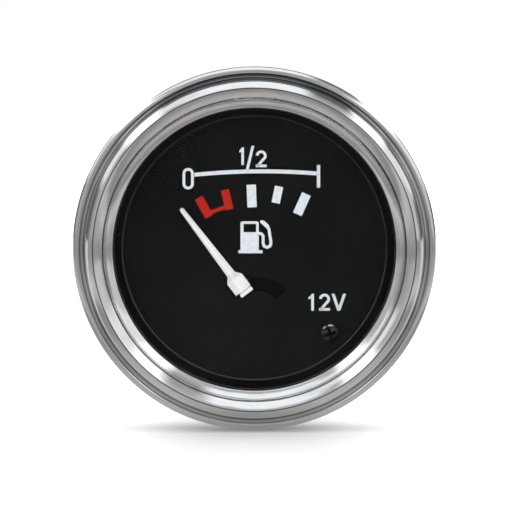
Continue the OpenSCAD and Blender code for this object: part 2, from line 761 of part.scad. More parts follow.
// Terminals: studs, insulating bushes, washers and two nuts on each
bush_flange_r = 4.8;
bush_flange_t = 1;
bush_z = back_z - bush_flange_t;
washer_t = 0.8;
washer_z = bush_z - washer_t;
nut_h = 3.2;
lock_z = washer_z - nut_h;
spring_t = 1.1;
spring_z = lock_z - spring_t;
wire_nut_z = spring_z - nut_h;
module terminal_studs() facing() color("goldenrod") pair(terminal_pitch, -terminal_drop) {
    shaft(terminal_r, back_z - terminal_out + 0.5, stud_head_z);
    translate([0, 0, back_z - terminal_out]) cylinder(r1 = terminal_r - 0.5, r2 = terminal_r, h = 0.5);
    shaft(terminal_head_r, stud_head_z, stud_head_z + terminal_head_h);
}

module terminal_bushes() facing() color("black") pair(terminal_pitch, -terminal_drop)
    difference() {
        union() {
            shaft(bush_flange_r, bush_z, back_z);
            shaft(case_hole_r - run_gap, back_z, floor_z);
        }
        shaft(terminal_r + loose_gap / 2, bush_z - over, floor_z + over);
    }

module terminal_washers() facing() color("goldenrod") pair(terminal_pitch, -terminal_drop)
    collar(nut_flats / 2 + 0.5, terminal_r + loose_gap / 2, washer_z, bush_z);

module hex_nut(hole_r, from, to) difference() {
    translate([0, 0, from]) intersection() {
        cylinder(r = nut_flats / 2 / cos(30), h = to - from, $fn = 6);
        chamfered(nut_flats / 2 / cos(30), to - from, 0.5);
    }
    shaft(hole_r, from - over, to + over);
}

// A short round bar with both edges chamfered
module chamfered(r, h, c) rotate_extrude()
    polygon([[0, 0], [r - c, 0], [r, c], [r, h - c], [r - c, h], [0, h]]);

module terminal_lock_nuts() facing() color("goldenrod") pair(terminal_pitch, -terminal_drop)
    hex_nut(terminal_r + run_gap, lock_z, washer_z);

module terminal_spring_washers() facing() color("silver")
    pair(terminal_pitch, -terminal_drop) split_ring(terminal_r + 1.7, terminal_r, spring_z, lock_z);

// A spring washer, cut through on one side
module split_ring(outer, hole_r, from, to) difference() {
    collar(outer, hole_r + loose_gap / 2, from, to);
    translate([0, -0.4, from - over]) cube([outer + over, 0.8, to - from + 2 * over]);
}

module terminal_wire_nuts() facing() color("goldenrod") pair(terminal_pitch, -terminal_drop)
    hex_nut(terminal_r + run_gap, wire_nut_z, spring_z);

// Mounting studs, riveted in the case's back
module mounting_studs() facing() color("silver") pair(stud_pitch, 0) {
    shaft(stud_r, back_z - stud_out + 0.5, floor_z);
    translate([0, 0, back_z - stud_out]) cylinder(r1 = stud_r - 0.5, r2 = stud_r, h = 0.5);
    shaft(stud_head_r, floor_z, floor_z + stud_head_h);
    shaft(stud_r + 0.8, back_z - 0.4, back_z);
}

// Clamp bracket: a U of sheet whose legs press on the panel's back
leg_len = case_depth + web_gap - thin_panel;
web_z = -panel_gap - leg_len;
leg_x = register_r + leg_gap;
bend_r = 1.3;
module mounting_bracket() facing() color("gainsboro") difference() {
    along_y(-bracket_w / 2, bracket_w / 2) difference() {
        bend_outline(leg_x + bracket_t, web_z - bracket_t, bend_r + bracket_t, -panel_gap);
        bend_outline(leg_x, web_z, bend_r, -panel_gap + over);
    }
    pair(stud_pitch, 0) shaft(stud_r + loose_gap, web_z - bracket_t - over, web_z + over);
}

// A U outline, open in front, with round rear corners
module bend_outline(half, back, r, front) {
    translate([-half, back + r]) square([2 * half, front - back - r]);
    translate([-half + r, back]) square([2 * (half - r), 2 * r]);
    for (side = [-1, 1]) translate([side * (half - r), back + r]) circle(r = r);
}

clamp_washer_t = 0.9;
clamp_washer_z = web_z - bracket_t - clamp_washer_t;
module bracket_washers() facing() color("silver") pair(stud_pitch, 0)
    split_ring(stud_r + 1.6, stud_r, clamp_washer_z, web_z - bracket_t);

// Thumb nuts, with a collar towards the bracket
nut_collar_h = 1.5;
module thumb_nuts() facing() color("goldenrod") pair(stud_pitch, 0) difference() {
    union() {
        shaft(stud_r + 1.7, clamp_washer_z - nut_collar_h - fix_gap, clamp_washer_z);
        translate([0, 0, clamp_washer_z - thumb_nut_h])
            chamfered(thumb_nut_r, thumb_nut_h - nut_collar_h, 0.4);
    }
    shaft(stud_r + run_gap, clamp_washer_z - thumb_nut_h - over, clamp_washer_z + over);
}

// Lamp: a push-in holder with a blade contact, and its bulb
holder_flange_r = lamp_hole_r + 1.1;
holder_flange_t = 1.2;
holder_grip_r = 5.2;
holder_grip_len = 6;
holder_in = 7;
holder_wall = 1.2;
contact_w = 6.3;
contact_t = 0.8;
contact_len = 8;
module at_lamp() translate([0, lamp_y, 0]) children();

module lamp_holder() facing() color("black") at_lamp() difference() {
    union() {
        shaft(lamp_hole_r - run_gap, back_z, floor_z + 1);
        shaft(cap_r + fix_gap + holder_wall, floor_z, floor_z + holder_in);
        shaft(holder_flange_r, back_z - holder_flange_t, back_z);
        shaft(holder_grip_r, back_z - holder_flange_t - holder_grip_len, back_z - holder_flange_t);
    }
    shaft(cap_r + fix_gap, back_z, floor_z + holder_in + over);
    translate([-contact_w / 2 - fix_gap, -contact_t / 2 - fix_gap,
               back_z - holder_flange_t - holder_grip_len - over])
        cube([contact_w + 2 * fix_gap, contact_t + 2 * fix_gap, holder_grip_len + over]);
}

module lamp_contact() facing() color("goldenrod") at_lamp() {
    contact_z = back_z - holder_flange_t - holder_grip_len - contact_len;
    difference() {
        translate([-contact_w / 2, -contact_t / 2, contact_z])
            cube([contact_w, contact_t, contact_len + holder_grip_len - fix_gap]);
        translate([0, over, contact_z + 3]) rotate([90, 0, 0]) cylinder(r = 0.9, h = 2 * over);
    }
}

cap_len = 9;
module lamp_bulb() facing() color("lightyellow") at_lamp() rotate_extrude()
    polygon(concat([[0, back_z + 0.1], [cap_r, back_z + 0.1], [cap_r, back_z + cap_len]],
        arc([0, back_z + cap_len + bulb_len - bulb_r], bulb_r, 0, 90, 8)));

bezel();
glass();
glass_gasket();
light_ring();
case();
dial_plate();
scale_print();
reserve_print();
dial_screw();
pointer();
pointer_arm();
pointer_spindle();
drive_lever();
bearing_bridge();
bridge_rivets();
movement_plate();
plate_screws();
bimetal_strip();
heater_winding();
zero_adjuster();
adjuster_rivet();
base_moulding();
terminal_studs();
terminal_bushes();
terminal_washers();
terminal_lock_nuts();
terminal_spring_washers();
terminal_wire_nuts();
mounting_studs();
mounting_bracket();
bracket_washers();
thumb_nuts();
lamp_holder();
lamp_contact();
lamp_bulb();
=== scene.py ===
"""The looks of an electric fuel gauge: its chromed bezel, glass, dial, pointer, case, clamp,
terminals and lamp.

Every shape is drawn in millimetres with x to the right, y up and z forward to the reader, and
z = 0 is the front of the panel. stand() turns that into the frame's metres, where the dial
looks along -Y.
"""
import math

import bmesh
import bpy
from mathutils import Matrix, Vector


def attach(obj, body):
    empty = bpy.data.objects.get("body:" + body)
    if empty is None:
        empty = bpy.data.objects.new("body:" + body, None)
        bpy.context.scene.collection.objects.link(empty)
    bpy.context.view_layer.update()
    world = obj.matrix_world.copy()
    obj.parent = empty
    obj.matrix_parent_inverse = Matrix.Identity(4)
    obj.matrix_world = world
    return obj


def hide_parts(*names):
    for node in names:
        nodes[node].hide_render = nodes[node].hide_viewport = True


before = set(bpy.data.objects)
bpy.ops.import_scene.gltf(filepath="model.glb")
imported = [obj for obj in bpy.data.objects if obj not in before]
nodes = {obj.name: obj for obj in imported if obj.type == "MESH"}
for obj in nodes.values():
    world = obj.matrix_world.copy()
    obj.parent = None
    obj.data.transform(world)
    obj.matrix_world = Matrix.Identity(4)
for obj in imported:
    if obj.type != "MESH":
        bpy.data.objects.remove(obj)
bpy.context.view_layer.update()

MM = 0.001
STAND = Matrix(((1, 0, 0, 0), (0, 0, -1, 0), (0, 1, 0, 0), (0, 0, 0, 1)))

# Levels along z and radii, as the solids have them
LIP_Z, GLASS_Z, GASKET_Z, SEAT_Z = 3.9, 2.1, 1.6, 1.1
DIAL_Z, DIAL_T = -1.3, 0.8
INK_T = 0.06
APERTURE_R, GLASS_R, VIEW_R, DIAL_R = 23.25, 26.8, 21.7, 24.6
PIVOT = (0.4, -11.9)
HALF_SWING = 35.5
SCREW_AT, SCREW_TURN = (12.565, -14.25), 15
MERGE = 0.002  # points nearer than this become one


# Shapes

def on_circle(centre, r, degrees):
    """A point on a circle."""
    a = math.radians(degrees)
    return centre[0] + r * math.cos(a), centre[1] + r * math.sin(a)


def arc(centre, r, start, end, steps):
    """Points along a round stretch of an outline."""
    return [on_circle(centre, r, start + (end - start) * i / steps) for i in range(steps + 1)]


def rounded(outline, corners, steps=6):
    """An outline with some corners rounded; corners gives a radius for each one's number."""
    made = []
    for i, point in enumerate(outline):
        if i not in corners:
            made.append(point)
            continue
        p = Vector(point)
        to_a = (Vector(outline[i - 1]) - p).normalized()
        to_b = (Vector(outline[(i + 1) % len(outline)]) - p).normalized()
        half = to_a.angle(to_b) / 2
        cut = corners[i] / math.tan(half)
        a, b = p + to_a * cut, p + to_b * cut
        for k in range(steps + 1):
            t = k / steps
            made.append(tuple((1 - t) ** 2 * a + 2 * t * (1 - t) * p + t * t * b))
    return made


def loft(loops, closed=True):
    """Points and faces of a surface through loops that all have the same number of points.

    A loop of one point is a pole."""
    points, rows = [], []
    count = max(len(loop) for loop in loops)
    for loop in loops:
        first = len(points)
        points += loop
        rows.append([first] * count if len(loop) == 1 else list(range(first, first + count)))
    faces = []
    for i in range(len(rows) if closed else len(rows) - 1):
        a, b = rows[i], rows[(i + 1) % len(rows)]
        for k in range(count):
            n = (k + 1) % count
            face = list(dict.fromkeys((a[k], a[n], b[n], b[k])))
            if len(face) > 2:
                faces.append(face)
    return points, faces


def turned(profile, centre=(0, 0), steps=192):
    """Points and faces of an outline of radii and levels turned about an axis."""
    loops = []
    for r, z in profile:
        if r < 1e-6:
            loops.append([(centre[0], centre[1], z)])
        else:
            loops.append([on_circle(centre, r, 360 * k / steps) + (z,) for k in range(steps)])
    return loft(loops)


def joined(*shapes):
    """One set of points and faces from several."""
    points, faces = [], []
    for more_points, more_faces in shapes:
        first = len(points)
        points += more_points
        faces += [[first + i for i in face] for face in more_faces]
    return points, faces


def flat(outlines, low, high, edge=0.0):
    """Points and faces of a flat piece between two levels. The first outline is its edge and
    the others are holes; edge rounds all of them."""
    curve = bpy.data.curves.new("outline", "CURVE")
    curve.dimensions, curve.fill_mode = "2D", "BOTH"
    curve.extrude = (high - low) / 2 - edge
    curve.bevel_depth, curve.bevel_resolution, curve.offset = edge, 2, -edge
    for outline in outlines:
        spline = curve.splines.new("POLY")
        spline.points.add(len(outline) - 1)
        spline.use_cyclic_u = True
        for point, (x, y) in zip(spline.points, outline):
            point.co = (x, y, 0, 1)
    drawn = bpy.data.objects.new("outline", curve)
    bpy.context.collection.objects.link(drawn)
    mesh = bpy.data.meshes.new_from_object(
        drawn.evaluated_get(bpy.context.evaluated_depsgraph_get()))
    middle = (low + high) / 2
    points = [(v.co.x, v.co.y, v.co.z + middle) for v in mesh.vertices]
    faces = [list(p.vertices) for p in mesh.polygons]
    bpy.data.objects.remove(drawn)
    bpy.data.meshes.remove(mesh)
    bpy.data.curves.remove(curve)
    return points, faces


def piece(name, shape, finish, body, stands_for=(), crease=35):
    """A finished piece: its mesh stood up in the frame, its material, and what it rides on."""
    points, faces = shape
    mesh = bpy.data.meshes.new(name)
    mesh.from_pydata([Vector(p) * MM for p in points], [], faces)
    mesh.transform(STAND)
    form = bmesh.new()
    form.from_mesh(mesh)
    bmesh.ops.remove_doubles(form, verts=form.verts, dist=MERGE * MM)
    bmesh.ops.dissolve_degenerate(form, edges=form.edges, dist=MERGE * MM / 4)
    bmesh.ops.recalc_face_normals(form, faces=form.faces)
    form.to_mesh(mesh)
    form.free()
    mesh.materials.append(finish)
    mesh.shade_smooth()
    mesh.set_sharp_from_angle(angle=math.radians(crease))
    made = bpy.data.objects.new(name, mesh)
    bpy.context.collection.objects.link(made)
    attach(made, body)
    if stands_for:
        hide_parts(*stands_for)
    return made


# Materials

def add(tree, kind, inputs=None, **settings):
    """A node with its settings made and its inputs set or linked."""
    made = tree.nodes.new(kind)
    for key, value in settings.items():
        setattr(made, key, value)
    for key, value in (inputs or {}).items():
        if isinstance(value, bpy.types.NodeSocket):
            tree.links.new(value, made.inputs[key])
        else:
            made.inputs[key].default_value = value
    return made


def calc(tree, operation, *values):
    """The result of a Math node."""
    return add(tree, "ShaderNodeMath", dict(enumerate(values)), operation=operation
               ).outputs[0]


def ramp(tree, value, *stops):
    """A Color Ramp; each stop is a place and a colour or a grey."""
    made = add(tree, "ShaderNodeValToRGB", {0: value})
    elements = made.color_ramp.elements
    while len(elements) < len(stops):
        elements.new(0.5)
    for element, (place, colour) in zip(elements, stops):
        element.position = place
        element.color = (*colour, 1) if isinstance(colour, tuple) else (colour,) * 3 + (1,)
    return made.outputs[0]


def remap(tree, value, low, high, to_low=0.0, to_high=1.0, smooth=False):
    """A value moved from one range to another."""
    made = add(tree, "ShaderNodeMapRange", {0: value, 1: low, 2: high, 3: to_low, 4: to_high})
    if smooth:
        made.interpolation_type = "SMOOTHSTEP"
    return made.outputs[0]


def window(tree, value, low, high, soft):
    """1 between two values and 0 outside, with soft edges."""
    up = remap(tree, value, low - soft, low, smooth=True)
    down = remap(tree, value, high, high + soft, 1.0, 0.0, smooth=True)
    return calc(tree, "MULTIPLY", up, down)


def blend(tree, share, a, b):
    """Two colours mixed."""
    made = add(tree, "ShaderNodeMix", data_type="RGBA")
    for number, value in ((0, share), (6, a), (7, b)):
        if isinstance(value, bpy.types.NodeSocket):
            tree.links.new(value, made.inputs[number])
        elif number:
            made.inputs[number].default_value = (*value, 1)
        else:
            made.inputs[number].default_value = value
    return made.outputs[2]


def grain(tree, vector, scale, detail=3.0, rough=0.5):
    """Noise along a vector of object coordinates."""
    return add(tree, "ShaderNodeTexNoise",
               {"Vector": vector, "Scale": scale, "Detail": detail, "Roughness": rough}
               ).outputs[0]


def place(tree):
    """Object coordinates."""
    return add(tree, "ShaderNodeTexCoord").outputs["Object"]


def stretched(tree, sizes, centre=(0, 0, 0)):
    """Object coordinates about a centre, scaled apart along the three axes."""
    return add(tree, "ShaderNodeMapping",
               {"Vector": place(tree), "Location": [-c * s for c, s in zip(centre, sizes)],
                "Scale": sizes}).outputs[0]


def off_axis(tree, parts):
    """How far a place is from an axis along Y."""
    return calc(tree, "SQRT", calc(tree, "ADD", *(calc(tree, "MULTIPLY", parts[i], parts[i])
                                                  for i in (0, 2))))


def round_the_axis(tree, across, along):
    """Noise whose streaks run round an axis along Y: across says how fine they are."""
    parts = add(tree, "ShaderNodeSeparateXYZ", {0: place(tree)}).outputs
    r = off_axis(tree, parts)
    r = calc(tree, "MAXIMUM", r, 1e-5)
    spot = add(tree, "ShaderNodeCombineXYZ",
               {0: calc(tree, "MULTIPLY", r, across), 1: calc(tree, "MULTIPLY", parts[1], across),
                2: calc(tree, "MULTIPLY", calc(tree, "DIVIDE", parts[0], r), along)}).outputs[0]
    turn = calc(tree, "MULTIPLY", calc(tree, "DIVIDE", parts[2], r), along)
    return add(tree, "ShaderNodeTexNoise",
               {"Vector": spot, "W": turn, "Scale": 1.0, "Detail": 2.0, "Roughness": 0.6},
               noise_dimensions="4D").outputs[0]


def finish(name, **sockets):
    """A new node material and its Principled shader, with plain values set on the shader."""
    made = bpy.data.materials.new(name)
    made.use_nodes = True
    shader = made.node_tree.nodes["Principled BSDF"]
    for key, value in sockets.items():
        if isinstance(value, tuple):
            value = (*value, 1)
        shader.inputs[key.replace("_", " ")].default_value = value
    return made, made.node_tree, shader


def bumps(tree, shader, *layers):
    """Bump layers on a shader; each is a height and how far it stands out in metres."""
    normal = None
    for height, distance in layers:
        made = add(tree, "ShaderNodeBump", {"Height": height, "Distance": distance,
                                            "Strength": 1.0})
        if normal:
            tree.links.new(normal, made.inputs["Normal"])
        normal = made.outputs[0]
    tree.links.new(normal, shader.inputs["Normal"])


def chrome_finish():
    """Polished chrome on a pressed ring: fine streaks round it and a slight waviness. Painted
    shade darkens the step line and the valley on its front, and the valley more towards the top.
    """
    made, tree, shader = finish("bezel chrome", Metallic=1.0)
    fine = round_the_axis(tree, 9000, 5)
    broad = round_the_axis(tree, 1800, 7)
    wavy = round_the_axis(tree, 400, 2.5)
    tone = ramp(tree, broad, (0.3, (0.58, 0.585, 0.59)), (0.7, (0.67, 0.67, 0.67)))
    parts = add(tree, "ShaderNodeSeparateXYZ", {0: place(tree)}).outputs
    r = off_axis(tree, parts)
    front = remap(tree, parts[1], 0.0, -0.0005)
    # Painted shade: the step line and the valley are darkened in the base colour, on the front
    # only, and the valley more towards the top.
    step = calc(tree, "MULTIPLY", window(tree, r, 0.02642, 0.02652, 0.00008), 0.85)
    valley = calc(tree, "MULTIPLY", window(tree, r, 0.02812, 0.02885, 0.0002),
                  remap(tree, parts[2], 0.012, 0.026, 0.35, 0.85, smooth=True))
    painted_groove_shade = calc(tree, "MULTIPLY", calc(tree, "MAXIMUM", step, valley), front)
    tree.links.new(blend(tree, painted_groove_shade, tone, (0.03, 0.03, 0.032)), shader.inputs["Base Color"])
    tree.links.new(remap(tree, fine, 0.3, 0.7, 0.06, 0.14), shader.inputs["Roughness"])
    bumps(tree, shader, (wavy, 1.0e-4), (broad, 8e-6), (fine, 1.5e-6))
    return made


def plated_finish(name, dark, light, rough, scratch=4000):
    """Plated or plain metal: soft clouds in its colour and fine turned streaks."""
    made, tree, shader = finish(name, Metallic=1.0)
    cloudy = grain(tree, place(tree), 220, 4)
    streaks = round_the_axis(tree, scratch, 6)
    tone = calc(tree, "ADD", calc(tree, "MULTIPLY", cloudy, 0.6),
                calc(tree, "MULTIPLY", streaks, 0.4))
    tree.links.new(ramp(tree, tone, (0.35, dark), (0.65, light)), shader.inputs["Base Color"])
    tree.links.new(remap(tree, tone, 0.3, 0.7, rough - 0.07, rough + 0.1),
                   shader.inputs["Roughness"])
    bumps(tree, shader, (streaks, 6e-6), (cloudy, 8e-6))
    return made


def sheet_finish(name, dark, light, along):
    """Plated sheet, with fine lines drawn one way; along scales the three axes of the lines."""
    made, tree, shader = finish(name, Metallic=1.0)
    cloudy = grain(tree, place(tree), 160, 5, 0.6)
    lines = grain(tree, stretched(tree, along), 1.0, 3, 0.6)
    handled = grain(tree, place(tree), 45, 3)
    tone = calc(tree, "ADD", calc(tree, "MULTIPLY", cloudy, 0.55),
                calc(tree, "MULTIPLY", lines, 0.45))
    tree.links.new(blend(tree, remap(tree, handled, 0.45, 0.7, 0.0, 0.35, smooth=True),
                         ramp(tree, tone, (0.36, dark), (0.64, light)),
                         tuple(c * 0.82 for c in dark)), shader.inputs["Base Color"])
    tree.links.new(remap(tree, tone, 0.3, 0.7, 0.24, 0.42),
                   shader.inputs["Roughness"])
    bumps(tree, shader, (lines, 5e-6), (cloudy, 1e-5))
    return made


def moulded_finish(name, colour, rough=0.5, cloud=900, depth=6e-6, sheen=0.25):
    """Moulded plastic or rubber with a fine skin."""
    made, tree, shader = finish(name, Specular_IOR_Level=sheen)
    skin = grain(tree, place(tree), cloud * 4, 3)
    cloudy = grain(tree, place(tree), cloud / 4, 3)
    light = tuple(min(1, c * 1.25 + 0.004) for c in colour)
    tree.links.new(ramp(tree, cloudy, (0.3, colour), (0.7, light)), shader.inputs["Base Color"])
    tree.links.new(remap(tree, skin, 0.3, 0.7, rough - 0.08, rough + 0.08),
                   shader.inputs["Roughness"])
    bumps(tree, shader, (skin, depth))
    return made


def glass_finish(name):
    """Clear glass that lets the lamps' light through to what is behind it."""
    tint = (0.995, 0.995, 1.0)
    made, tree, shader = finish(name, Base_Color=tint, Transmission_Weight=1.0, IOR=1.5,
                                Roughness=0.0, Specular_Tint=(0.12, 0.12, 0.12))
    smear = grain(tree, place(tree), 90, 3)
    tree.links.new(remap(tree, smear, 0.5, 0.8, 0.0, 0.03), shader.inputs["Roughness"])
    clear = add(tree, "ShaderNodeBsdfTransparent", {"Color": (*tint, 1)})
    path = add(tree, "ShaderNodeLightPath")
    passing = calc(tree, "MAXIMUM", path.outputs["Is Shadow Ray"],
                   path.outputs["Is Diffuse Ray"])
    mixed = add(tree, "ShaderNodeMixShader", {0: passing, 1: shader.outputs[0],
                                              2: clear.outputs[0]})
    tree.links.new(mixed.outputs[0], tree.nodes["Material Output"].inputs["Surface"])
    return made


def dial_finish():
    """Black paint on the dial: matt, a little uneven, with fine dust."""
    made, tree, shader = finish("dial paint", Specular_IOR_Level=0.04)
    cloudy = grain(tree, place(tree), 60, 3)
    skin = grain(tree, place(tree), 5000, 2)
    tone = blend(tree, remap(tree, cloudy, 0.35, 0.65), (0.0030, 0.0031, 0.0034),
                 (0.0062, 0.0063, 0.0063))
    dust = remap(tree, grain(tree, place(tree), 2600, 1), 0.74, 0.8)
    tree.links.new(blend(tree, dust, tone, (0.03, 0.03, 0.03)), shader.inputs["Base Color"])
    tree.links.new(remap(tree, skin, 0.3, 0.7, 0.5, 0.62), shader.inputs["Roughness"])
    bumps(tree, shader, (skin, 4e-6))
    return made


def ink_finish(name, colour):
    """Screen-printed ink: its thickness and cover vary a little."""
    made, tree, shader = finish(name, Specular_IOR_Level=0.15)
    cover = grain(tree, place(tree), 1500, 3)
    thin = tuple(c * 0.88 for c in colour)
    tree.links.new(ramp(tree, cover, (0.35, thin), (0.6, colour)), shader.inputs["Base Color"])
    tree.links.new(remap(tree, cover, 0.3, 0.7, 0.4, 0.55), shader.inputs["Roughness"])
    bumps(tree, shader, (cover, 4e-6))
    return made


def ring_finish():
    """Black moulding of the light ring: glossy below, dulled by dust above."""
    made, tree, shader = finish("light ring", Specular_IOR_Level=0.5)
    skin = grain(tree, place(tree), 1600, 3)
    height = add(tree, "ShaderNodeSeparateXYZ", {0: place(tree)}).outputs[2]
    tree.links.new(ramp(tree, skin, (0.3, 0.0009), (0.7, 0.0016)), shader.inputs["Base Color"])
    dull = remap(tree, height, -0.012, 0.012, 0.12, 0.32, smooth=True)
    tree.links.new(calc(tree, "ADD", dull, calc(tree, "MULTIPLY", skin, 0.05)),
                   shader.inputs["Roughness"])
    bumps(tree, shader, (skin, 4e-7))
    return made


def screw_finish(x, z, turn):
    """Blackened steel of the dial screw, with painted highlights as bright arcs round its rim and
    painted shade in its cross recess.
    """
    made, tree, shader = finish("black screw", Metallic=1.0)
    cloudy = grain(tree, place(tree), 1800, 3)
    parts = add(tree, "ShaderNodeSeparateXYZ", {0: stretched(tree, (1, 1, 1), (x, 0, z))}).outputs
    r = off_axis(tree, parts)
    clock = calc(tree, "MULTIPLY", calc(tree, "ARCTAN2", parts[0], parts[2]), 180 / math.pi)
    # Painted highlights: bright arcs on the rim, at the clock angles where glints fall.
    painted_glints = None
    for near, far, left, right, share in ((0.00142, 0.00154, -50, -32, 0.9),
                                          (0.00140, 0.00154, -10, 17, 1.0),
                                          (0.00150, 0.00156, 52, 60, 0.5),
                                          (0.00154, 0.00160, 124, 166, 0.5)):
        mark = calc(tree, "MULTIPLY", window(tree, r, near, far, 0.00006),
                    calc(tree, "MULTIPLY", window(tree, clock, left, right, 5), share))
        painted_glints = calc(tree, "MAXIMUM", painted_glints, mark) if painted_glints else mark
    tone = ramp(tree, cloudy, (0.35, (0.018, 0.018, 0.019)), (0.65, (0.05, 0.05, 0.052)))
    # Painted shade: the cross recess is darkened to near black.
    cross = add(tree, "ShaderNodeSeparateXYZ", {0: add(tree, "ShaderNodeMapping", {
        "Vector": stretched(tree, (1, 1, 1), (x, 0, z)),
        "Rotation": (0, math.radians(turn), 0)}).outputs[0]}).outputs
    across, along = (calc(tree, "ABSOLUTE", cross[i]) for i in (0, 2))
    inside = calc(tree, "MULTIPLY", remap(tree, calc(tree, "MINIMUM", across, along),
                                          0.00022, 0.00026, 1.0, 0.0),
                  remap(tree, calc(tree, "MAXIMUM", across, along), 0.00094, 0.00100, 1.0, 0.0))
    tone = blend(tree, inside, tone, (0.001, 0.001, 0.001))
    tree.links.new(blend(tree, painted_glints, tone, (0.88, 0.88, 0.88)), shader.inputs["Base Color"])
    tree.links.new(remap(tree, cloudy, 0.3, 0.7, 0.1, 0.2), shader.inputs["Roughness"])
    bumps(tree, shader, (cloudy, 4e-6))
    return made


CHROME = chrome_finish()
GLASS = glass_finish("clear glass")
DIAL = dial_finish()
WHITE_INK = ink_finish("white ink", (0.75, 0.80, 0.83))
RED_INK = ink_finish("red ink", (0.46, 0.012, 0.002))
RING_BLACK = ring_finish()
POINTER_WHITE = moulded_finish("pointer white", (0.90, 0.90, 0.89), 0.42, 1400, 8e-6, 0.4)
SCREW_BLACK = screw_finish(SCREW_AT[0] * MM, SCREW_AT[1] * MM, SCREW_TURN)
RUBBER = moulded_finish("gasket rubber", (0.012, 0.012, 0.012), 0.65, 900, 8e-6, 0.2)
BLACK_PLASTIC = moulded_finish("black moulding", (0.014, 0.014, 0.015), 0.42, 900, 6e-6, 0.35)
BROWN_PLASTIC = moulded_finish("brown moulding", (0.045, 0.020, 0.011), 0.4, 700, 8e-6, 0.4)
BLACKENED = plated_finish("blackened steel", (0.020, 0.019, 0.018), (0.05, 0.048, 0.045), 0.42)
ZINC = plated_finish("zinc plate", (0.50, 0.52, 0.54), (0.72, 0.73, 0.74), 0.3)
DRAWN_ZINC = sheet_finish("drawn zinc plate", (0.48, 0.50, 0.52), (0.70, 0.71, 0.72),
                          (5200, 110, 5200))
ROLLED_ZINC = sheet_finish("rolled zinc plate", (0.46, 0.49, 0.52), (0.68, 0.70, 0.71),
                           (90, 4200, 90))
STEEL = plated_finish("plain steel", (0.46, 0.45, 0.44), (0.66, 0.65, 0.64), 0.34)
BRASS = plated_finish("plain brass", (0.62, 0.42, 0.16), (0.86, 0.64, 0.30), 0.28)
STRIP = plated_finish("strip metal", (0.15, 0.115, 0.09), (0.27, 0.22, 0.18), 0.36)
WIRE = plated_finish("wound wire", (0.42, 0.30, 0.18), (0.66, 0.50, 0.32), 0.4, scratch=9000)


# Shapes cut, threaded, split and ribbed

def capped(loops):
    """A lofted form with a pole at the middle of its first and last loops."""
    ends = [[tuple(sum(c) / len(loop) for c in zip(*loop))] for loop in (loops[0], loops[-1])]
    return loft([ends[0]] + loops + [ends[1]], closed=False)


def plug(centre, r, low, high):
    """A plain round solid, to cut holes with."""
    return turned([(0, low), (r, low), (r, high), (0, high)], centre, 64)


def read_mesh(item):
    """Points and faces of an object with its modifiers carried out; the object is removed."""
    mesh = bpy.data.meshes.new_from_object(
        item.evaluated_get(bpy.context.evaluated_depsgraph_get()))
    shape = [tuple(v.co) for v in mesh.vertices], [list(p.vertices) for p in mesh.polygons]
    bpy.data.meshes.remove(mesh)
    bpy.data.objects.remove(item)
    return shape


def loose(shape, name="loose"):
    """An object of a shape's points and faces, with its normals outward."""
    mesh = bpy.data.meshes.new(name)
    mesh.from_pydata([Vector(p) for p in shape[0]], [], shape[1])
    form = bmesh.new()
    form.from_mesh(mesh)
    bmesh.ops.remove_doubles(form, verts=form.verts, dist=0.0005)
    bmesh.ops.recalc_face_normals(form, faces=form.faces)
    form.to_mesh(mesh)
    form.free()
    item = bpy.data.objects.new(name, mesh)
    bpy.context.collection.objects.link(item)
    return item


def cut(shape, *cutters):
    """A shape with others taken out of it."""
    body = loose(shape)
    tools = [loose(cutter, "cutter") for cutter in cutters]
    for tool in tools:
        taking = body.modifiers.new("cut", "BOOLEAN")
        taking.operation, taking.solver, taking.object = "DIFFERENCE", "EXACT", tool
    made = read_mesh(body)
    for tool in tools:
        bpy.data.objects.remove(tool)
    return made


def wire(paths, r):
    """Round wires along paths of points."""
    curve = bpy.data.curves.new("wire", "CURVE")
    curve.dimensions, curve.bevel_depth, curve.bevel_resolution = "3D", r, 2
    curve.use_fill_caps = True
    for path in paths:
        spline = curve.splines.new("POLY")
        spline.points.add(len(path) - 1)
        for point, place_of in zip(spline.points, path):
            point.co = (*place_of, 1)
    item = bpy.data.objects.new("wire", curve)
    bpy.context.collection.objects.link(item)
    return read_mesh(item)


def thread(centre, r, deep, pitch, low, high, steps=40):
    """A cut thread between two levels, faded out and closed at both ends."""
    cross = ((0.0, r), (0.13, r), (0.5, r - deep), (0.63, r - deep))
    rows = len(cross)
    turns = int((high - low) / pitch) + 2
    points, faces = [], []
    for turn in range(-1, turns + 1):
        for share, radius in cross:
            for k in range(steps):
                z = min(high, max(low, low + pitch * (turn + share + k / steps)))
                full = min(1.0, (z - low) / (0.8 * pitch), (high - z) / (0.5 * pitch))
                points.append(on_circle(centre, r - deep + (radius - r + deep) * full,
                                        360 * k / steps) + (z,))
    count = len(points) // steps
    for j in range(count - 1):
        for k in range(steps):
            a, b = j * steps + k, (j + 1) * steps + k
            if k < steps - 1:
                faces.append([a, a + 1, b + 1, b])
            elif j + 1 + rows < count:
                faces.append([a, (j + rows) * steps, (j + rows + 1) * steps, b])
    points += [(*centre, low), (*centre, high)]
    last = (count - 1) * steps
    for k in range(steps):
        n = (k + 1) % steps
        faces += [[len(points) - 2, n, k], [len(points) - 1, last + k, last + n]]
    return points, faces


def hexagon_nut(centre, flats, bore, low, high, turn=0, steps=120):
    """A nut whose corners are turned back at both ends and whose bore is opened out."""
    def loop(radius, level):
        made = []
        for k in range(steps):
            a = 360 * k / steps
            corner = flats / 2 / math.cos(math.radians(a % 60 - 30))
            corner = min(corner, flats / 2 / math.cos(math.radians(30)) * 0.988)
            back = max(0, corner - flats / 2 * 0.97) * math.tan(math.radians(30))
            r = corner if radius is None else radius
            z = level if radius is not None else (low + back if level == low else high - back)
            made.append(on_circle(centre, r, a + turn) + (z,))
        return made
    face_r = flats / 2 * 0.97
    return loft([loop(bore, low + 0.35), loop(bore + 0.35, low), loop(face_r, low),
                 loop(None, low), loop(None, high), loop(face_r, high),
                 loop(bore + 0.35, high), loop(bore, high - 0.35)])


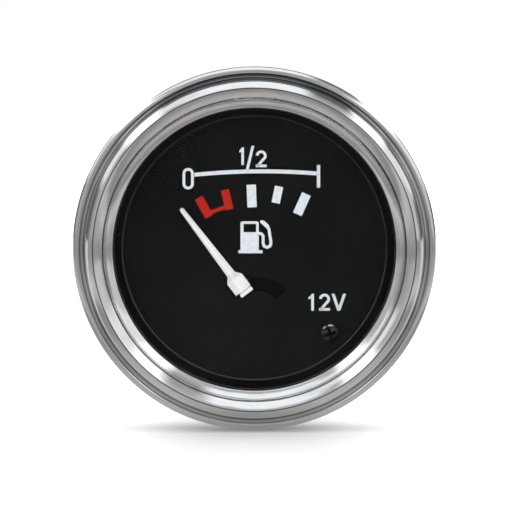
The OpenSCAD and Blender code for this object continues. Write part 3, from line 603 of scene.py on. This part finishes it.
def split_washer(centre, outer, inner, low, high, gap, steps=72):
    """A spring washer, cut across at a slant."""
    lean = math.degrees(0.35 / outer)
    half = math.degrees(gap / (outer + inner)) + lean
    section = rounded([(inner, low), (outer, low), (outer, high), (inner, high)],
                      {0: 0.1, 1: 0.16, 2: 0.16, 3: 0.1}, 3)
    middle, tall = (low + high) / 2, high - low
    return capped([[on_circle(centre, r, half + (360 - 2 * half) * i / steps
                              + 2 * lean * (z - middle) / tall) + (z,) for r, z in section]
                   for i in range(steps + 1)])


def ridge_tree():
    """Geometry nodes that stand straight ridges side by side round an axis."""
    tree = bpy.data.node_groups.new("ridges round an axis", "GeometryNodeTree")
    for name, kind in (("Count", "Int"), ("Radius", "Float"), ("Ridge radius", "Float"),
                       ("Length", "Float"), ("Sides", "Int"), ("Middle", "Vector"),
                       ("Finish", "Material")):
        tree.interface.new_socket(name, in_out="INPUT", socket_type="NodeSocket" + kind)
    tree.interface.new_socket("Ridges", in_out="OUTPUT", socket_type="NodeSocketGeometry")
    sizes = add(tree, "NodeGroupInput").outputs
    spots = add(tree, "GeometryNodeMeshCircle", {"Vertices": sizes["Count"],
                                                 "Radius": sizes["Radius"]})
    ridge = add(tree, "GeometryNodeMeshCylinder", {"Vertices": sizes["Sides"],
                                                   "Radius": sizes["Ridge radius"],
                                                   "Depth": sizes["Length"]})
    where = add(tree, "ShaderNodeSeparateXYZ", {0: add(tree, "GeometryNodeInputPosition")
                                                .outputs[0]}).outputs
    facing = add(tree, "ShaderNodeCombineXYZ", {2: calc(tree, "ARCTAN2", where[1], where[0])})
    turned_to = add(tree, "FunctionNodeEulerToRotation", {0: facing.outputs[0]})
    stood = add(tree, "GeometryNodeInstanceOnPoints", {
        "Points": spots.outputs[0], "Instance": ridge.outputs[0],
        "Rotation": turned_to.outputs[0]})
    moved = add(tree, "GeometryNodeTransform", {"Geometry": stood.outputs[0],
                                                "Translation": sizes["Middle"]})
    real = add(tree, "GeometryNodeRealizeInstances", {0: moved.outputs[0]})
    dressed = add(tree, "GeometryNodeSetMaterial", {"Geometry": real.outputs[0],
                                                    "Material": sizes["Finish"]})
    add(tree, "NodeGroupOutput", {0: dressed.outputs[0]})
    return tree


RIDGES = ridge_tree()


def ridges(count, radius, ridge_r, length, sides, middle):
    """A ring of straight ridges about an axis along z."""
    item = bpy.data.objects.new("ridges", bpy.data.meshes.new("ridges"))
    bpy.context.collection.objects.link(item)
    making = item.modifiers.new("ridges", "NODES")
    making.node_group = RIDGES
    sizes = {"Count": count, "Radius": radius, "Ridge radius": ridge_r, "Length": length,
             "Sides": sides, "Middle": middle}
    for socket in RIDGES.interface.items_tree:
        if socket.in_out == "INPUT" and socket.name in sizes:
            making[socket.identifier] = sizes[socket.name]
    return read_mesh(item)


# Bezel: one pressed ring, rolled behind the case flange and turned down to the glass

def cove(a, b, bow, steps):
    """Points of a hollow arc from a to b, whose ends turn away from its chord by an angle."""
    a, b = Vector(a), Vector(b)
    chord = b - a
    side = Vector((-chord.y, chord.x)).normalized()
    angle = math.radians(bow)
    r = chord.length / 2 / math.sin(angle)
    made = []
    for i in range(steps + 1):
        t = angle * (2 * i / steps - 1)
        made.append(tuple((a + b) / 2 + chord.normalized() * r * math.sin(t)
                          + side * r * (math.cos(t) - math.cos(angle))))
    return made


def bezel_outline():
    """Radii and levels round the bezel's section."""
    outer, sheet, rim_r, valley_r, ring_r, lip_r = 30.0, 0.5, 0.8, 0.45, 1.9, 0.3
    rim_top, band, lip_slope, crease_r, hem_r = 2.6, 18, 43, 24.9, 27.0
    bead_end, valley_end, ring_start = 120, 190, 10
    rim = (outer - rim_r, rim_r)
    bead = (outer - rim_r, rim_top - rim_r)
    valley = on_circle(bead, rim_r + valley_r, bead_end)
    foot = on_circle(valley, valley_r, valley_end)
    lip = (APERTURE_R + lip_r, LIP_Z + 0.1)
    start = on_circle(lip, lip_r, 90 + lip_slope)
    crease = (crease_r, start[1] + (crease_r - start[0]) * math.tan(math.radians(lip_slope)))
    edge = (25.0, crease[1] + (25.0 - crease_r) * math.tan(math.radians(band)))
    slope = math.tan(math.radians(band))
    top = crease[1] + (foot[0] - ring_r - crease_r) * slope + 0.3
    wall_z = top - ring_r * (1 - math.sin(math.radians(ring_start)))
    wall = (foot[0] - (wall_z - foot[1]) * math.tan(math.radians(ring_start)), wall_z)
    ring = on_circle(wall, -ring_r, ring_start)
    ring_end = 73
    step_r = on_circle(ring, ring_r, ring_end)[0]
    step = (step_r, crease[1] + (step_r - crease_r) * slope)
    outline = [(hem_r, 0.0)]
    outline += arc(rim, rim_r, -90, 0, 10)
    outline += arc(bead, rim_r, 0, bead_end, 22)
    outline += arc(valley, valley_r, 180 + bead_end, valley_end, 14)
    outline += arc(ring, ring_r, ring_start, ring_end, 30)
    outline += rounded([outline[-1], step, edge, start], {1: 0.1}, 6)[1:-2]
    outline += cove(edge, start, 27, 14)
    outline += arc(lip, lip_r, 90 + lip_slope, 180, 10)
    outline += [(APERTURE_R, LIP_Z), (APERTURE_R + sheet, LIP_Z),
                (APERTURE_R + sheet, lip[1] + sheet / 2),
                (24.3, 4.32), (25.25, 5.15), (step[0] - 0.6 * sheet, step[1] - sheet)]
    outline += arc(ring, ring_r - sheet, ring_end, ring_start, 12)
    outline += arc(valley, valley_r + sheet, valley_end, 180 + bead_end, 8)
    outline += arc(bead, rim_r - sheet, bead_end, 0, 10)
    outline += arc(rim, rim_r - sheet, 0, -90, 6)
    return outline + [(hem_r, sheet)]


piece("bezel_ring", turned(bezel_outline(), steps=288), CHROME, "gauge", ["bezel"],
      crease=50)


# Glass, gasket and light ring

piece("glass_pane", turned([(0, GLASS_Z), (GLASS_R - 0.15, GLASS_Z), (GLASS_R, GLASS_Z + 0.15),
                            (GLASS_R, LIP_Z - 0.15), (GLASS_R - 0.15, LIP_Z), (0, LIP_Z)]),
      GLASS, "gauge", ["glass"], crease=30)

RING_LEAN, RING_WALL = 1.4, 0.8
piece("light_guide", turned(rounded(
    [(VIEW_R, DIAL_Z), (VIEW_R + 0.09, DIAL_Z + 0.18), (VIEW_R + 0.3, DIAL_Z + 0.24),
     (VIEW_R + 0.5, DIAL_Z + 0.6), (VIEW_R + RING_LEAN, GASKET_Z), (GLASS_R, GASKET_Z),
     (GLASS_R, SEAT_Z), (VIEW_R + RING_LEAN + RING_WALL, SEAT_Z), (VIEW_R + RING_WALL, DIAL_Z)],
    {1: 0.07, 2: 0.08, 4: 0.25, 7: 0.2}, 6), steps=256),
      RING_BLACK, "gauge", ["light_ring"], crease=50)


# Dial and its print

def round_hole(x, y, r, steps=48):
    """A round outline."""
    return [on_circle((x, y), r, 360 * k / steps) for k in range(steps)]


SLOT_IN, SLOT_OUT, SLOT_ANGLE = 4.7, 7.0, 44.5
slot = (arc(PIVOT, SLOT_OUT, 90 - SLOT_ANGLE, 90 + SLOT_ANGLE, 48)
        + arc(PIVOT, SLOT_IN, 90 + SLOT_ANGLE, 90 - SLOT_ANGLE, 40))
piece("dial_face", flat([round_hole(0, 0, DIAL_R, 192), slot, round_hole(*SCREW_AT, 1.1)],
                        DIAL_Z - DIAL_T, DIAL_Z, 0.08),
      DIAL, "gauge", ["dial_plate"], crease=50)


def ribbon(path, width):
    """The outline of a stroke of one width along a path of points."""
    half, left, right = width / 2, [], []
    for i, point in enumerate(path):
        p = Vector(point)
        back = (p - Vector(path[i - 1])).normalized() if i else None
        ahead = (Vector(path[i + 1]) - p).normalized() if i < len(path) - 1 else None
        along = ((back or ahead) + (ahead or back)).normalized()
        side = Vector((-along.y, along.x))
        stretch = half / max(0.4, along.dot(back or ahead))
        left.append(tuple(p + side * stretch))
        right.append(tuple(p - side * stretch))
    return left + right[::-1]


def digit_one(x, low, high, width, stroke, flag):
    """A plain 1 whose stem ends at its right edge."""
    stem = x + width - stroke
    return [(stem, low), (stem + stroke, low), (stem + stroke, high), (stem + stroke * 0.35, high),
            (stem - flag * 0.35, high - flag * 0.75), (x, high - flag * 0.95),
            (x, high - flag * 0.95 - stroke * 0.8), (stem, high - flag * 0.95 - stroke * 0.55)]


def digit_two(x, low, high, width, stroke):
    """A plain 2: a round head, a neck that falls to the left, and a foot."""
    half = stroke / 2
    r = width / 2 - half
    head = (x + width / 2, high - half - r)
    path = arc(head, r, 175, -28, 16)
    path += [(x + width * 0.62, low + (high - low) * 0.42), (x + half * 1.5, low + half)]
    body = ribbon(path, stroke)
    foot = [(x, low), (x + width, low), (x + width, low + stroke), (x, low + stroke)]
    return body, foot


def numerals():
    """The half mark above the scale and the voltage beside it, as thin plates of ink."""
    half_two = digit_two(0.22, 13.38, 16.15, 1.8, 0.44)
    volt_two = digit_two(10.72, -10.43, -7.6, 1.82, 0.45)
    v_left, v_right, v_low, v_top = 12.78, 15.2, -10.43, -7.62
    v_mid = (v_left + v_right) / 2
    shapes = [
        digit_one(-2.49, 13.77, 16.67, 0.75, 0.43, 0.55),
        [(-1.45, 12.9), (-0.98, 12.9), (-0.02, 16.9), (-0.48, 16.9)],
        half_two[0], half_two[1],
        digit_one(8.95, -10.43, -7.6, 0.92, 0.45, 0.6),
        volt_two[0], volt_two[1],
        [(v_left, v_top), (v_left + 0.5, v_top), (v_mid, v_low + 0.75),
         (v_right - 0.5, v_top), (v_right, v_top), (v_mid + 0.25, v_low), (v_mid - 0.25, v_low)],
    ]
    return joined(*(flat([s], DIAL_Z - 0.01, DIAL_Z + INK_T, 0.0) for s in shapes))


piece("dial_numerals", numerals(), WHITE_INK, "gauge", crease=50)


# Dial screw: a domed black head with a cross recess

def screw_head():
    """Head and shank of the dial screw, with a cross cut into the dome."""
    r, h, side, steps, rows = 1.65, 1.05, 0.35, 144, 44
    arm, width, deep = 0.98, 0.46, 0.7
    loops = [[SCREW_AT + (DIAL_Z - 5.0,)]]
    for radius, z in ((0.9, -5.0), (1.0, -4.9), (1.0, 0.0), (r - 0.08, 0.0), (r, 0.08), (r, side)):
        loops.append([on_circle(SCREW_AT, radius, 360 * k / steps) + (DIAL_Z + z,)
                      for k in range(steps)])
    for i in range(1, rows):
        radius = r * math.cos(math.radians(90 * i / rows))
        loop = []
        for k in range(steps):
            angle = 360 * k / steps
            x, y = on_circle((0, 0), radius, angle)
            z = side + (h - side) * math.sqrt(max(0, 1 - (radius / r) ** 2))
            across = on_circle((0, 0), radius, angle - SCREW_TURN)
            near, far = sorted((abs(across[0]), abs(across[1])))
            slope = 0.06
            into = min((width / 2 - near) / slope, (arm - far) / (slope * 3))
            z -= deep * max(0.0, min(1.0, into + 0.5)) * (1 - 0.35 * (far / arm) ** 2)
            loop.append((SCREW_AT[0] + x, SCREW_AT[1] + y, DIAL_Z + z))
        loops.append(loop)
    loops.append([SCREW_AT + (DIAL_Z + h - deep,)])
    return loft(loops, closed=False)


piece("dial_screw_head", screw_head(), SCREW_BLACK, "gauge", ["dial_screw"],
      crease=60)


# Pointer: a white moulding with a ridge along its blade and a block where its arm goes in

POINTER_SIDE, POINTER_TURN = 1.18, 1.77


def on_pointer(x, y, z):
    """A place on the pointer's moulding, drawn as if it stood straight up. The moulding sits
    beside the line through the pivot and leans back towards it."""
    a, b = math.radians(POINTER_TURN), math.radians(HALF_SWING)
    x, y = POINTER_SIDE + x * math.cos(a) - y * math.sin(a), x * math.sin(a) + y * math.cos(a)
    return (PIVOT[0] + x * math.cos(b) - y * math.sin(b),
            PIVOT[1] + x * math.sin(b) + y * math.cos(b), z)


def ridge_section(y, half, side, top, shift, flat_half, base, x=0.0):
    """A loop across the pointer at y: sides, two flanks and a narrow ridge."""
    soft = 0.06
    shape = [(-half, base), (-half, base + side - soft), (-half + soft, base + side),
             (shift - flat_half - soft, base + top - soft * 0.5), (shift - flat_half, base + top),
             (shift + flat_half, base + top), (shift + flat_half + soft, base + top - soft * 0.5),
             (half - soft, base + side), (half, base + side - soft), (half, base)]
    return [on_pointer(x + across, y, z) for across, z in shape]


def pointer_shape():
    """Blade, hub block and end tab of the pointer."""
    base = DIAL_Z + 0.55
    length, tip, root, hub_to = 22.4, 0.75, 1.55, 7.7
    round_from = length - tip / 2
    blade = []
    for i in range(25):
        y = hub_to - 0.05 + (round_from - hub_to + 0.05) * i / 24
        t = (y - hub_to) / (round_from - hub_to)
        blade.append((y, (root + (tip - root) * t) / 2, 0.3, 0.85 - 0.1 * t))
    for a in (20, 40, 60, 75, 85):
        c = math.cos(math.radians(a))
        blade.append((round_from + tip / 2 * math.sin(math.radians(a)), tip / 2 * c,
                      0.3 * math.cos(math.radians(a * 0.6)), 0.35 + 0.4 * c))
    blade = [ridge_section(y, half, side, top, -0.15 * half, min(0.06, half * 0.2), base)
             for y, half, side, top in blade]
    hub = [ridge_section(y, half, side, top, -0.2 * half / 1.5, 0.12, base)
           for y, half, side, top in ((5.3, 1.44, 0.62, 1.38), (5.36, 1.5, 0.7, 1.5),
                                      (7.7, 1.5, 0.7, 1.5), (7.8, 1.42, 0.68, 1.42),
                                      (8.48, 0.85, 0.42, 0.98), (8.6, 0.76, 0.3, 0.86))]
    tab = [ridge_section(y, half, top - 0.08, top, 0, half - 0.12, base, 0.25)
           for y, half, top in ((4.45, 1.12, 0.52), (4.51, 1.2, 0.6), (5.05, 1.2, 0.6),
                                (5.12, 1.0, 0.3), (5.4, 1.0, 0.3))]
    return joined(capped(blade), capped(hub), capped(tab))


piece("pointer_blade", pointer_shape(), POINTER_WHITE, "pointer_group",
      ["pointer"], crease=28)


# Case, and what is fastened in its back

STUDS, TERMINALS, LAMP_AT = ((-16.5, 0), (16.5, 0)), ((-6.565, -14), (6.565, -14)), (0, 14.8)
BACK_Z, FLOOR_IN, WEB_Z = -32.0, -31.4, -38.0


def drawn_can():
    """The drawn case: flange, register and barrel of one sheet, with the holes in its back."""
    outline = [(25.4, 1.1), (28.9, 1.1), (28.9, 0.5), (26, 0.5), (26, -6), (25.6, -6.4)]
    outline += arc((23.2, -29.6), 2.4, 0, -90, 10) + [(0, BACK_Z), (0, FLOOR_IN)]
    outline += arc((23.2, -29.6), 1.8, -90, 0, 8) + [(25.0, -6.4), (25.4, -6)]
    can = turned(rounded(outline, {0: 0.12, 1: 0.15, 2: 0.15, 3: 0.2}, 4), steps=224)
    holes = [plug(spot, r, BACK_Z - 1, FLOOR_IN + 1) for spot, r in
             ((STUDS[0], 2.2), (STUDS[1], 2.2), (TERMINALS[0], 3.6), (TERMINALS[1], 3.6),
              (LAMP_AT, 7.0), ((-13.4, -7.6), 2.0))]
    return cut(can, *holes)


piece("case_can", drawn_can(), DRAWN_ZINC, "gauge", ["case"], crease=32)


def stud(centre, r, deep, pitch, tip, thread_end, core):
    """A threaded stud: core gives the radii and levels of its plain end and head."""
    tip_r = r - deep
    plain = turned([(0, tip)] + [(tip_r - 0.12, tip), (tip_r, tip + 0.12)] + core, centre, 64)
    return joined(plain, thread(centre, r, deep, pitch, tip + 0.25, thread_end))


piece("threaded_terminals", joined(*(
    stud(spot, 2.5, 0.46, 0.8, -45, -33.4,
         [(2.04, -33.5), (2.5, -33.4), (2.5, -28.4), (2.9, -28.3), (2.9, -27.0), (2.8, -26.9),
          (0, -26.9)]) for spot in TERMINALS)),
      BRASS, "gauge", ["terminal_studs"], crease=40)
piece("threaded_mounts", joined(*(
    stud(spot, 2.0, 0.42, 0.7, -52.5, -32.5,
         [(1.58, -32.6), (1.9, -32.4), (2.7, -32.4), (2.8, -32.3), (2.8, -32.0), (2.0, -31.9),
          (2.0, -31.4), (3.4, -31.4), (3.4, -30.3), (3.3, -30.2), (0, -30.2)])
    for spot in STUDS)), ZINC, "gauge", ["mounting_studs"], crease=40)
piece("insulating_bushes", joined(*(turned(rounded(
    [(2.6, -33), (4.8, -33), (4.8, -32), (3.55, -32), (3.55, -31.4), (2.6, -31.4)],
    {0: 0.15, 1: 0.3, 2: 0.1, 4: 0.12}, 4), spot, 96) for spot in TERMINALS)),
      BLACK_PLASTIC, "gauge", ["terminal_bushes"])
piece("flat_washers", joined(*(turned(rounded(
    [(2.6, -33.8), (4.5, -33.8), (4.5, -33), (2.6, -33)], {0: 0.1, 1: 0.22, 2: 0.08}, 4),
    spot, 96) for spot in TERMINALS)), BRASS, "gauge", ["terminal_washers"])
piece("lock_nuts", joined(*(hexagon_nut(spot, 8, 2.55, -37, -33.8, turn)
                            for spot, turn in zip(TERMINALS, (11, 34)))),
      BRASS, "gauge", ["terminal_lock_nuts"], crease=24)
piece("split_washers", joined(*(split_washer(spot, 4.2, 2.6, -38.1, -37, 0.8)
                                for spot in TERMINALS)),
      STEEL, "gauge", ["terminal_spring_washers"])
piece("wire_nuts", joined(*(hexagon_nut(spot, 8, 2.55, -41.3, -38.1, turn)
                            for spot, turn in zip(TERMINALS, (47, 4)))),
      BRASS, "gauge", ["terminal_wire_nuts"], crease=24)


# Clamp: the bracket that pulls the gauge into its panel

def bent_strap():
    """A strap of sheet bent to a U, with a hole for each stud."""
    outline = ([(-28.4, -6)] + arc((-25.9, -36.7), 2.5, 180, 270, 10)
               + arc((25.9, -36.7), 2.5, 270, 360, 10) + [(28.4, -6), (27.2, -6)]
               + arc((25.9, -36.7), 1.3, 0, -90, 8) + arc((-25.9, -36.7), 1.3, 270, 180, 8)
               + [(-27.2, -6)])
    points, faces = flat([outline], -5.5, 5.5, 0.16)
    strap = [(x, y, z) for x, z, y in points], [face[::-1] for face in faces]
    return cut(strap, *(plug(spot, 2.2, WEB_Z - 2.2, WEB_Z + 1) for spot in STUDS))


piece("clamp_strap", bent_strap(), ROLLED_ZINC, "clamp", ["mounting_bracket"],
      crease=30)
piece("clamp_washers", joined(*(split_washer(spot, 3.6, 2.05, -40.1, -39.2, 0.8)
                                for spot in STUDS)),
      STEEL, "clamp", ["bracket_washers"])
piece("knurled_nuts", joined(*(joined(
    turned(rounded([(2.05, -40.1), (3.7, -40.1), (3.7, -41.6), (4.55, -41.6), (4.92, -41.95),
                    (4.92, -42.2), (4.62, -42.4), (4.62, -45.3), (4.92, -45.5),
                    (4.92, -45.75), (4.55, -46.1), (2.5, -46.1), (2.05, -45.65)],
                   {1: 0.2, 2: 0.12, 4: 0.08, 9: 0.08}, 3), spot, 112),
    ridges(48, 4.64, 0.33, 3.0, 4, (*spot, -43.85))) for spot in STUDS)),
      BRASS, "clamp", ["thumb_nuts"], crease=30)


# Lamp: a push-in holder, its blade contact and the bulb

def holder_shape():
    """The holder: a bore for the bulb's cap, a flange against the case and a ribbed grip."""
    outline = [(4.51, -31.9), (4.51, -24.4), (5.71, -24.4), (5.71, -30.4), (6.95, -30.4),
               (6.95, -32), (8.1, -32), (8.1, -33.2), (4.9, -33.2), (4.9, -39.2), (0, -39.2),
               (0, -31.9)]
    body = turned(rounded(outline, {1: 0.2, 2: 0.3, 4: 0.35, 6: 0.1, 7: 0.3, 8: 0.15, 9: 0.5}, 4),
                  LAMP_AT, 128)
    way = flat([[(-3.2, LAMP_AT[1] - 0.45), (3.2, LAMP_AT[1] - 0.45),
                 (3.2, LAMP_AT[1] + 0.45), (-3.2, LAMP_AT[1] + 0.45)]], -40, -31)
    return joined(cut(body, way), ridges(24, 4.86, 0.34, 5.2, 8, (*LAMP_AT, -36.2)))


def blade_shape():
    """The flat contact, with cut corners at its tip and a hole near it."""
    outline = [(-3.15, -33.21), (-3.15, -46.4), (-2.35, -47.2), (2.35, -47.2), (3.15, -46.4),
               (3.15, -33.21)]
    points, faces = flat([outline, round_hole(0, -44.2, 0.9)], -0.4, 0.4, 0.1)
    return [(x, LAMP_AT[1] + y, z) for x, z, y in points], [face[::-1] for face in faces]


def bulb_glass():
    """The bulb's thin glass: a tube closed by a dome, outside and inside."""
    outside = [(4.2, -23.4), (4.4, -22.8)] + arc((0, -17.4), 4.4, 0, 90, 16)
    inside = arc((0, -17.4), 4.0, 90, 0, 14) + [(4.0, -22.8), (3.9, -23.4)]
    return turned(outside + inside, LAMP_AT, 96)


def bulb_cap():
    """The bulb's brass cap: a rolled neck round the glass, and a solder tip on glass."""
    outline = [(0, -31.9), (0.9, -31.9), (1.3, -31.6), (1.35, -31.35), (3.2, -31.2), (4.1, -31.3),
               (4.5, -30.9), (4.5, -26.6), (4.36, -26.3), (4.36, -25.7), (4.5, -25.4),
               (4.5, -23.3), (4.42, -23.05), (4.3, -23.1), (4.2, -23.6), (0, -23.6)]
    return turned(outline, LAMP_AT, 96)


def filament():
    """Two supports and the coil between them."""
    x, y = LAMP_AT
    legs = [[(x + side * 1.0, y, -23.7), (x + side * 1.15, y, -21.0), (x + side * 1.7, y, -18.6),
             (x + side * 1.62, y, -18.3)] for side in (-1, 1)]
    coil = [(x - 1.66 + 3.32 * i / 240, y + 0.24 * math.cos(2 * math.pi * i / 12),
             -18.4 + 0.5 * math.sin(math.pi * i / 240) + 0.24 * math.sin(2 * math.pi * i / 12))
            for i in range(241)]
    return joined(wire(legs, 0.11), wire([coil], 0.045),
                  turned([(0, -21.9), (1.2, -21.9), (1.35, -21.6), (1.2, -21.3), (0, -21.3)],
                         LAMP_AT, 40))


piece("socket_body", holder_shape(), BLACK_PLASTIC, "lamp", ["lamp_holder"])
piece("blade_tab", blade_shape(), BRASS, "lamp", ["lamp_contact"])
piece("bulb_envelope", bulb_glass(), GLASS, "lamp", ["lamp_bulb"])
piece("bulb_base", bulb_cap(), BRASS, "lamp")
piece("bulb_filament", filament(), STEEL, "lamp")


# Materials of the nodes that keep their solids

KEPT = {
    "glass_gasket": RUBBER, "scale_print": WHITE_INK, "reserve_print": RED_INK,
    "pointer_arm": BLACKENED, "pointer_spindle": STEEL, "drive_lever": BRASS,
    "bearing_bridge": BLACKENED, "bridge_rivets": STEEL, "movement_plate": BLACKENED,
    "plate_screws": ZINC, "bimetal_strip": STRIP, "heater_winding": WIRE,
    "zero_adjuster": BRASS, "adjuster_rivet": STEEL, "base_moulding": BROWN_PLASTIC,
}
for node_name, material in KEPT.items():
    mesh = nodes[node_name].data
    mesh.materials.clear()
    mesh.materials.append(material)


# Floor, surroundings, lamps and camera

FLOOR_Z = -0.030


def floor_finish():
    """White floor that keeps the shadow, with painted light that pales the shadow away from the
    gauge's foot, at its sides and behind it.
    In metal and glass it is a warm grey of painted shadow and reflection: darker in the contact
    shadow, in rings further out and far away, and lighter behind the gauge."""
    made, tree, shader = finish("studio floor", Base_Color=(0.97, 0.97, 0.97), Roughness=0.9,
                                Specular_IOR_Level=0.0, Emission_Color=(1.0, 1.0, 1.0),
                                Emission_Strength=0.02)
    parts = add(tree, "ShaderNodeSeparateXYZ", {0: place(tree)}).outputs
    far = add(tree, "ShaderNodeVectorMath", {0: place(tree)}, operation="LENGTH").outputs[1]
    # Painted shadow and painted reflection: metal and glass see the floor as this emission, dark
    # by the gauge's foot, in darker and lighter rings further out, and lighter behind it.
    near = ramp(tree, calc(tree, "DIVIDE", far, 0.5), (0.058, (0.32, 0.32, 0.32)),
                (0.068, (0.66, 0.65, 0.64)), (0.088, (0.60, 0.59, 0.57)),
                (0.12, (0.42, 0.41, 0.40)), (0.155, (0.36, 0.355, 0.345)),
                (0.19, (0.66, 0.65, 0.63)), (0.24, (0.80, 0.78, 0.76)),
                (0.35, (0.56, 0.56, 0.56)), (0.8, (0.40, 0.40, 0.41)))
    near = blend(tree, remap(tree, parts[1], 0.002, 0.03, 0.0, 0.85, smooth=True), near,
                 (0.95, 0.95, 0.97))
    contact = calc(tree, "SUBTRACT", parts[1], -0.001)
    contact = calc(tree, "SQRT", calc(tree, "ADD", calc(tree, "MULTIPLY", contact, contact),
                                      calc(tree, "MULTIPLY", parts[0], parts[0])))
    # Painted light: emission that grows away from the gauge's foot, from its middle sideways and
    # behind it, pales the shadow there.
    painted_light_layers = (remap(tree, far, 0.12, 0.4, 0.02, 0.3, smooth=True),
             remap(tree, contact, 0.004, 0.022, 0.0, 0.08, smooth=True),
             remap(tree, calc(tree, "ABSOLUTE", parts[0]), 0.006, 0.032, 0.0, 0.34, smooth=True),
             remap(tree, parts[1], -0.002, 0.014, 0.0, 0.4, smooth=True))
    painted_light = painted_light_layers[0]
    for more in painted_light_layers[1:]:
        painted_light = calc(tree, "ADD", painted_light, more)
    tree.links.new(painted_light, shader.inputs["Emission Strength"])
    seen = add(tree, "ShaderNodeEmission", {"Color": near, "Strength": 1.0})
    path = add(tree, "ShaderNodeLightPath")
    mixed = add(tree, "ShaderNodeMixShader", {0: path.outputs["Is Glossy Ray"],
                                              1: shader.outputs[0], 2: seen.outputs[0]})
    tree.links.new(mixed.outputs[0], tree.nodes["Material Output"].inputs["Surface"])
    return made


floor_mesh = bpy.data.meshes.new("studio_floor")
floor_mesh.from_pydata([(-6, -6, FLOOR_Z), (6, -6, FLOOR_Z), (6, 6, FLOOR_Z), (-6, 6, FLOOR_Z)],
                       [], [(0, 1, 2, 3)])
floor_mesh.materials.append(floor_finish())
floor = bpy.data.objects.new("studio_floor", floor_mesh)
bpy.context.collection.objects.link(floor)


# Lights as metal sees them: from and to in degrees clockwise round the dial from the top, from
# and to in degrees away from the reader, softness of the two sides, and tone
STUDIO_LIGHTS = (
    (-24, 16, 50, 114, 8, (1.36, 1.40, 1.44)),
    (-66, -24, 66, 112, 8, (1.15, 1.18, 1.20)),
    (54, 70, 34, 108, 8, (1.15, 1.16, 1.18)),
    (74, 100, 24, 70, 8, (0.80, 0.80, 0.82)),
    (-51, -39, 12, 172, 5, (1.75, 1.75, 1.78)),
    (40, 51, 12, 172, 5, (1.75, 1.75, 1.78)),
)


def surroundings():
    """White for the camera, a plain level for matt surfaces, and a studio for metal and glass:
    a soft box overhead, a strip light on each side of it and grey walls."""
    world = bpy.data.worlds.new("studio")
    bpy.context.scene.world = world
    world.use_nodes = True
    tree = world.node_tree
    tree.nodes.clear()
    way = add(tree, "ShaderNodeSeparateXYZ",
              {0: add(tree, "ShaderNodeTexCoord").outputs["Generated"]}).outputs
    clock = calc(tree, "MULTIPLY", calc(tree, "ARCTAN2", way[0], way[2]), 180 / math.pi)
    polar = calc(tree, "MULTIPLY",
                 calc(tree, "ARCCOSINE", calc(tree, "MULTIPLY", way[1], -1.0)), 180 / math.pi)
    lit = ramp(tree, calc(tree, "DIVIDE", polar, 180.0), (0.0, (0.40, 0.40, 0.40)),
               (0.22, (0.66, 0.66, 0.66)), (0.42, (0.46, 0.46, 0.47)),
               (0.56, (0.20, 0.21, 0.22)), (0.72, (0.13, 0.13, 0.14)), (0.88, (0.10, 0.10, 0.11)))
    for left, right, front, back, soft, tone in STUDIO_LIGHTS:
        lamp_shape = calc(tree, "MULTIPLY", window(tree, clock, left, right, soft),
                          window(tree, polar, front, back, 10))
        lit = blend(tree, lamp_shape, lit, tone)
    path = add(tree, "ShaderNodeLightPath").outputs
    studio = add(tree, "ShaderNodeBackground", {"Color": lit, "Strength": 1.0})
    plain = add(tree, "ShaderNodeBackground", {"Color": (1.0, 1.0, 1.0, 1), "Strength": 0.95})
    white = add(tree, "ShaderNodeBackground", {"Color": (1, 1, 1, 1), "Strength": 1.0})
    seen = calc(tree, "MAXIMUM", path["Is Camera Ray"], path["Is Transmission Ray"])
    first = add(tree, "ShaderNodeMixShader", {0: path["Is Glossy Ray"], 1: plain.outputs[0],
                                              2: studio.outputs[0]})
    last = add(tree, "ShaderNodeMixShader", {0: seen, 1: first.outputs[0], 2: white.outputs[0]})
    out = add(tree, "ShaderNodeOutputWorld", {"Surface": last.outputs[0]})
    world.cycles.sampling_method = "NONE"
    return out


surroundings()


def lamp(name, at, aim, size, power):
    """A square area lamp."""
    data = bpy.data.lights.new(name, "AREA")
    data.size, data.energy = size, power
    made = bpy.data.objects.new(name, data)
    made.location = at
    made.rotation_euler = (Vector(aim) - Vector(at)).to_track_quat("-Z", "Y").to_euler()
    bpy.context.collection.objects.link(made)
    made.visible_glossy = False
    return made


lamp("overhead", (-0.05, 0.12, 0.8), (0, 0, 0), 0.9, 1.2)

AIM = Vector((0.00026, 0.0, -0.0013))
ELEVATION, DISTANCE = math.radians(3.5), 0.5
camera_data = bpy.data.cameras.new("camera")
camera_data.lens, camera_data.sensor_width = 212.4, 36.0
camera = bpy.data.objects.new("camera", camera_data)
camera.location = AIM + DISTANCE * Vector((0, -math.cos(ELEVATION), math.sin(ELEVATION)))
camera.rotation_euler = (AIM - camera.location).to_track_quat("-Z", "Y").to_euler()
bpy.context.collection.objects.link(camera)
bpy.context.scene.camera = camera
bpy.context.scene.view_settings.view_transform = "Standard"
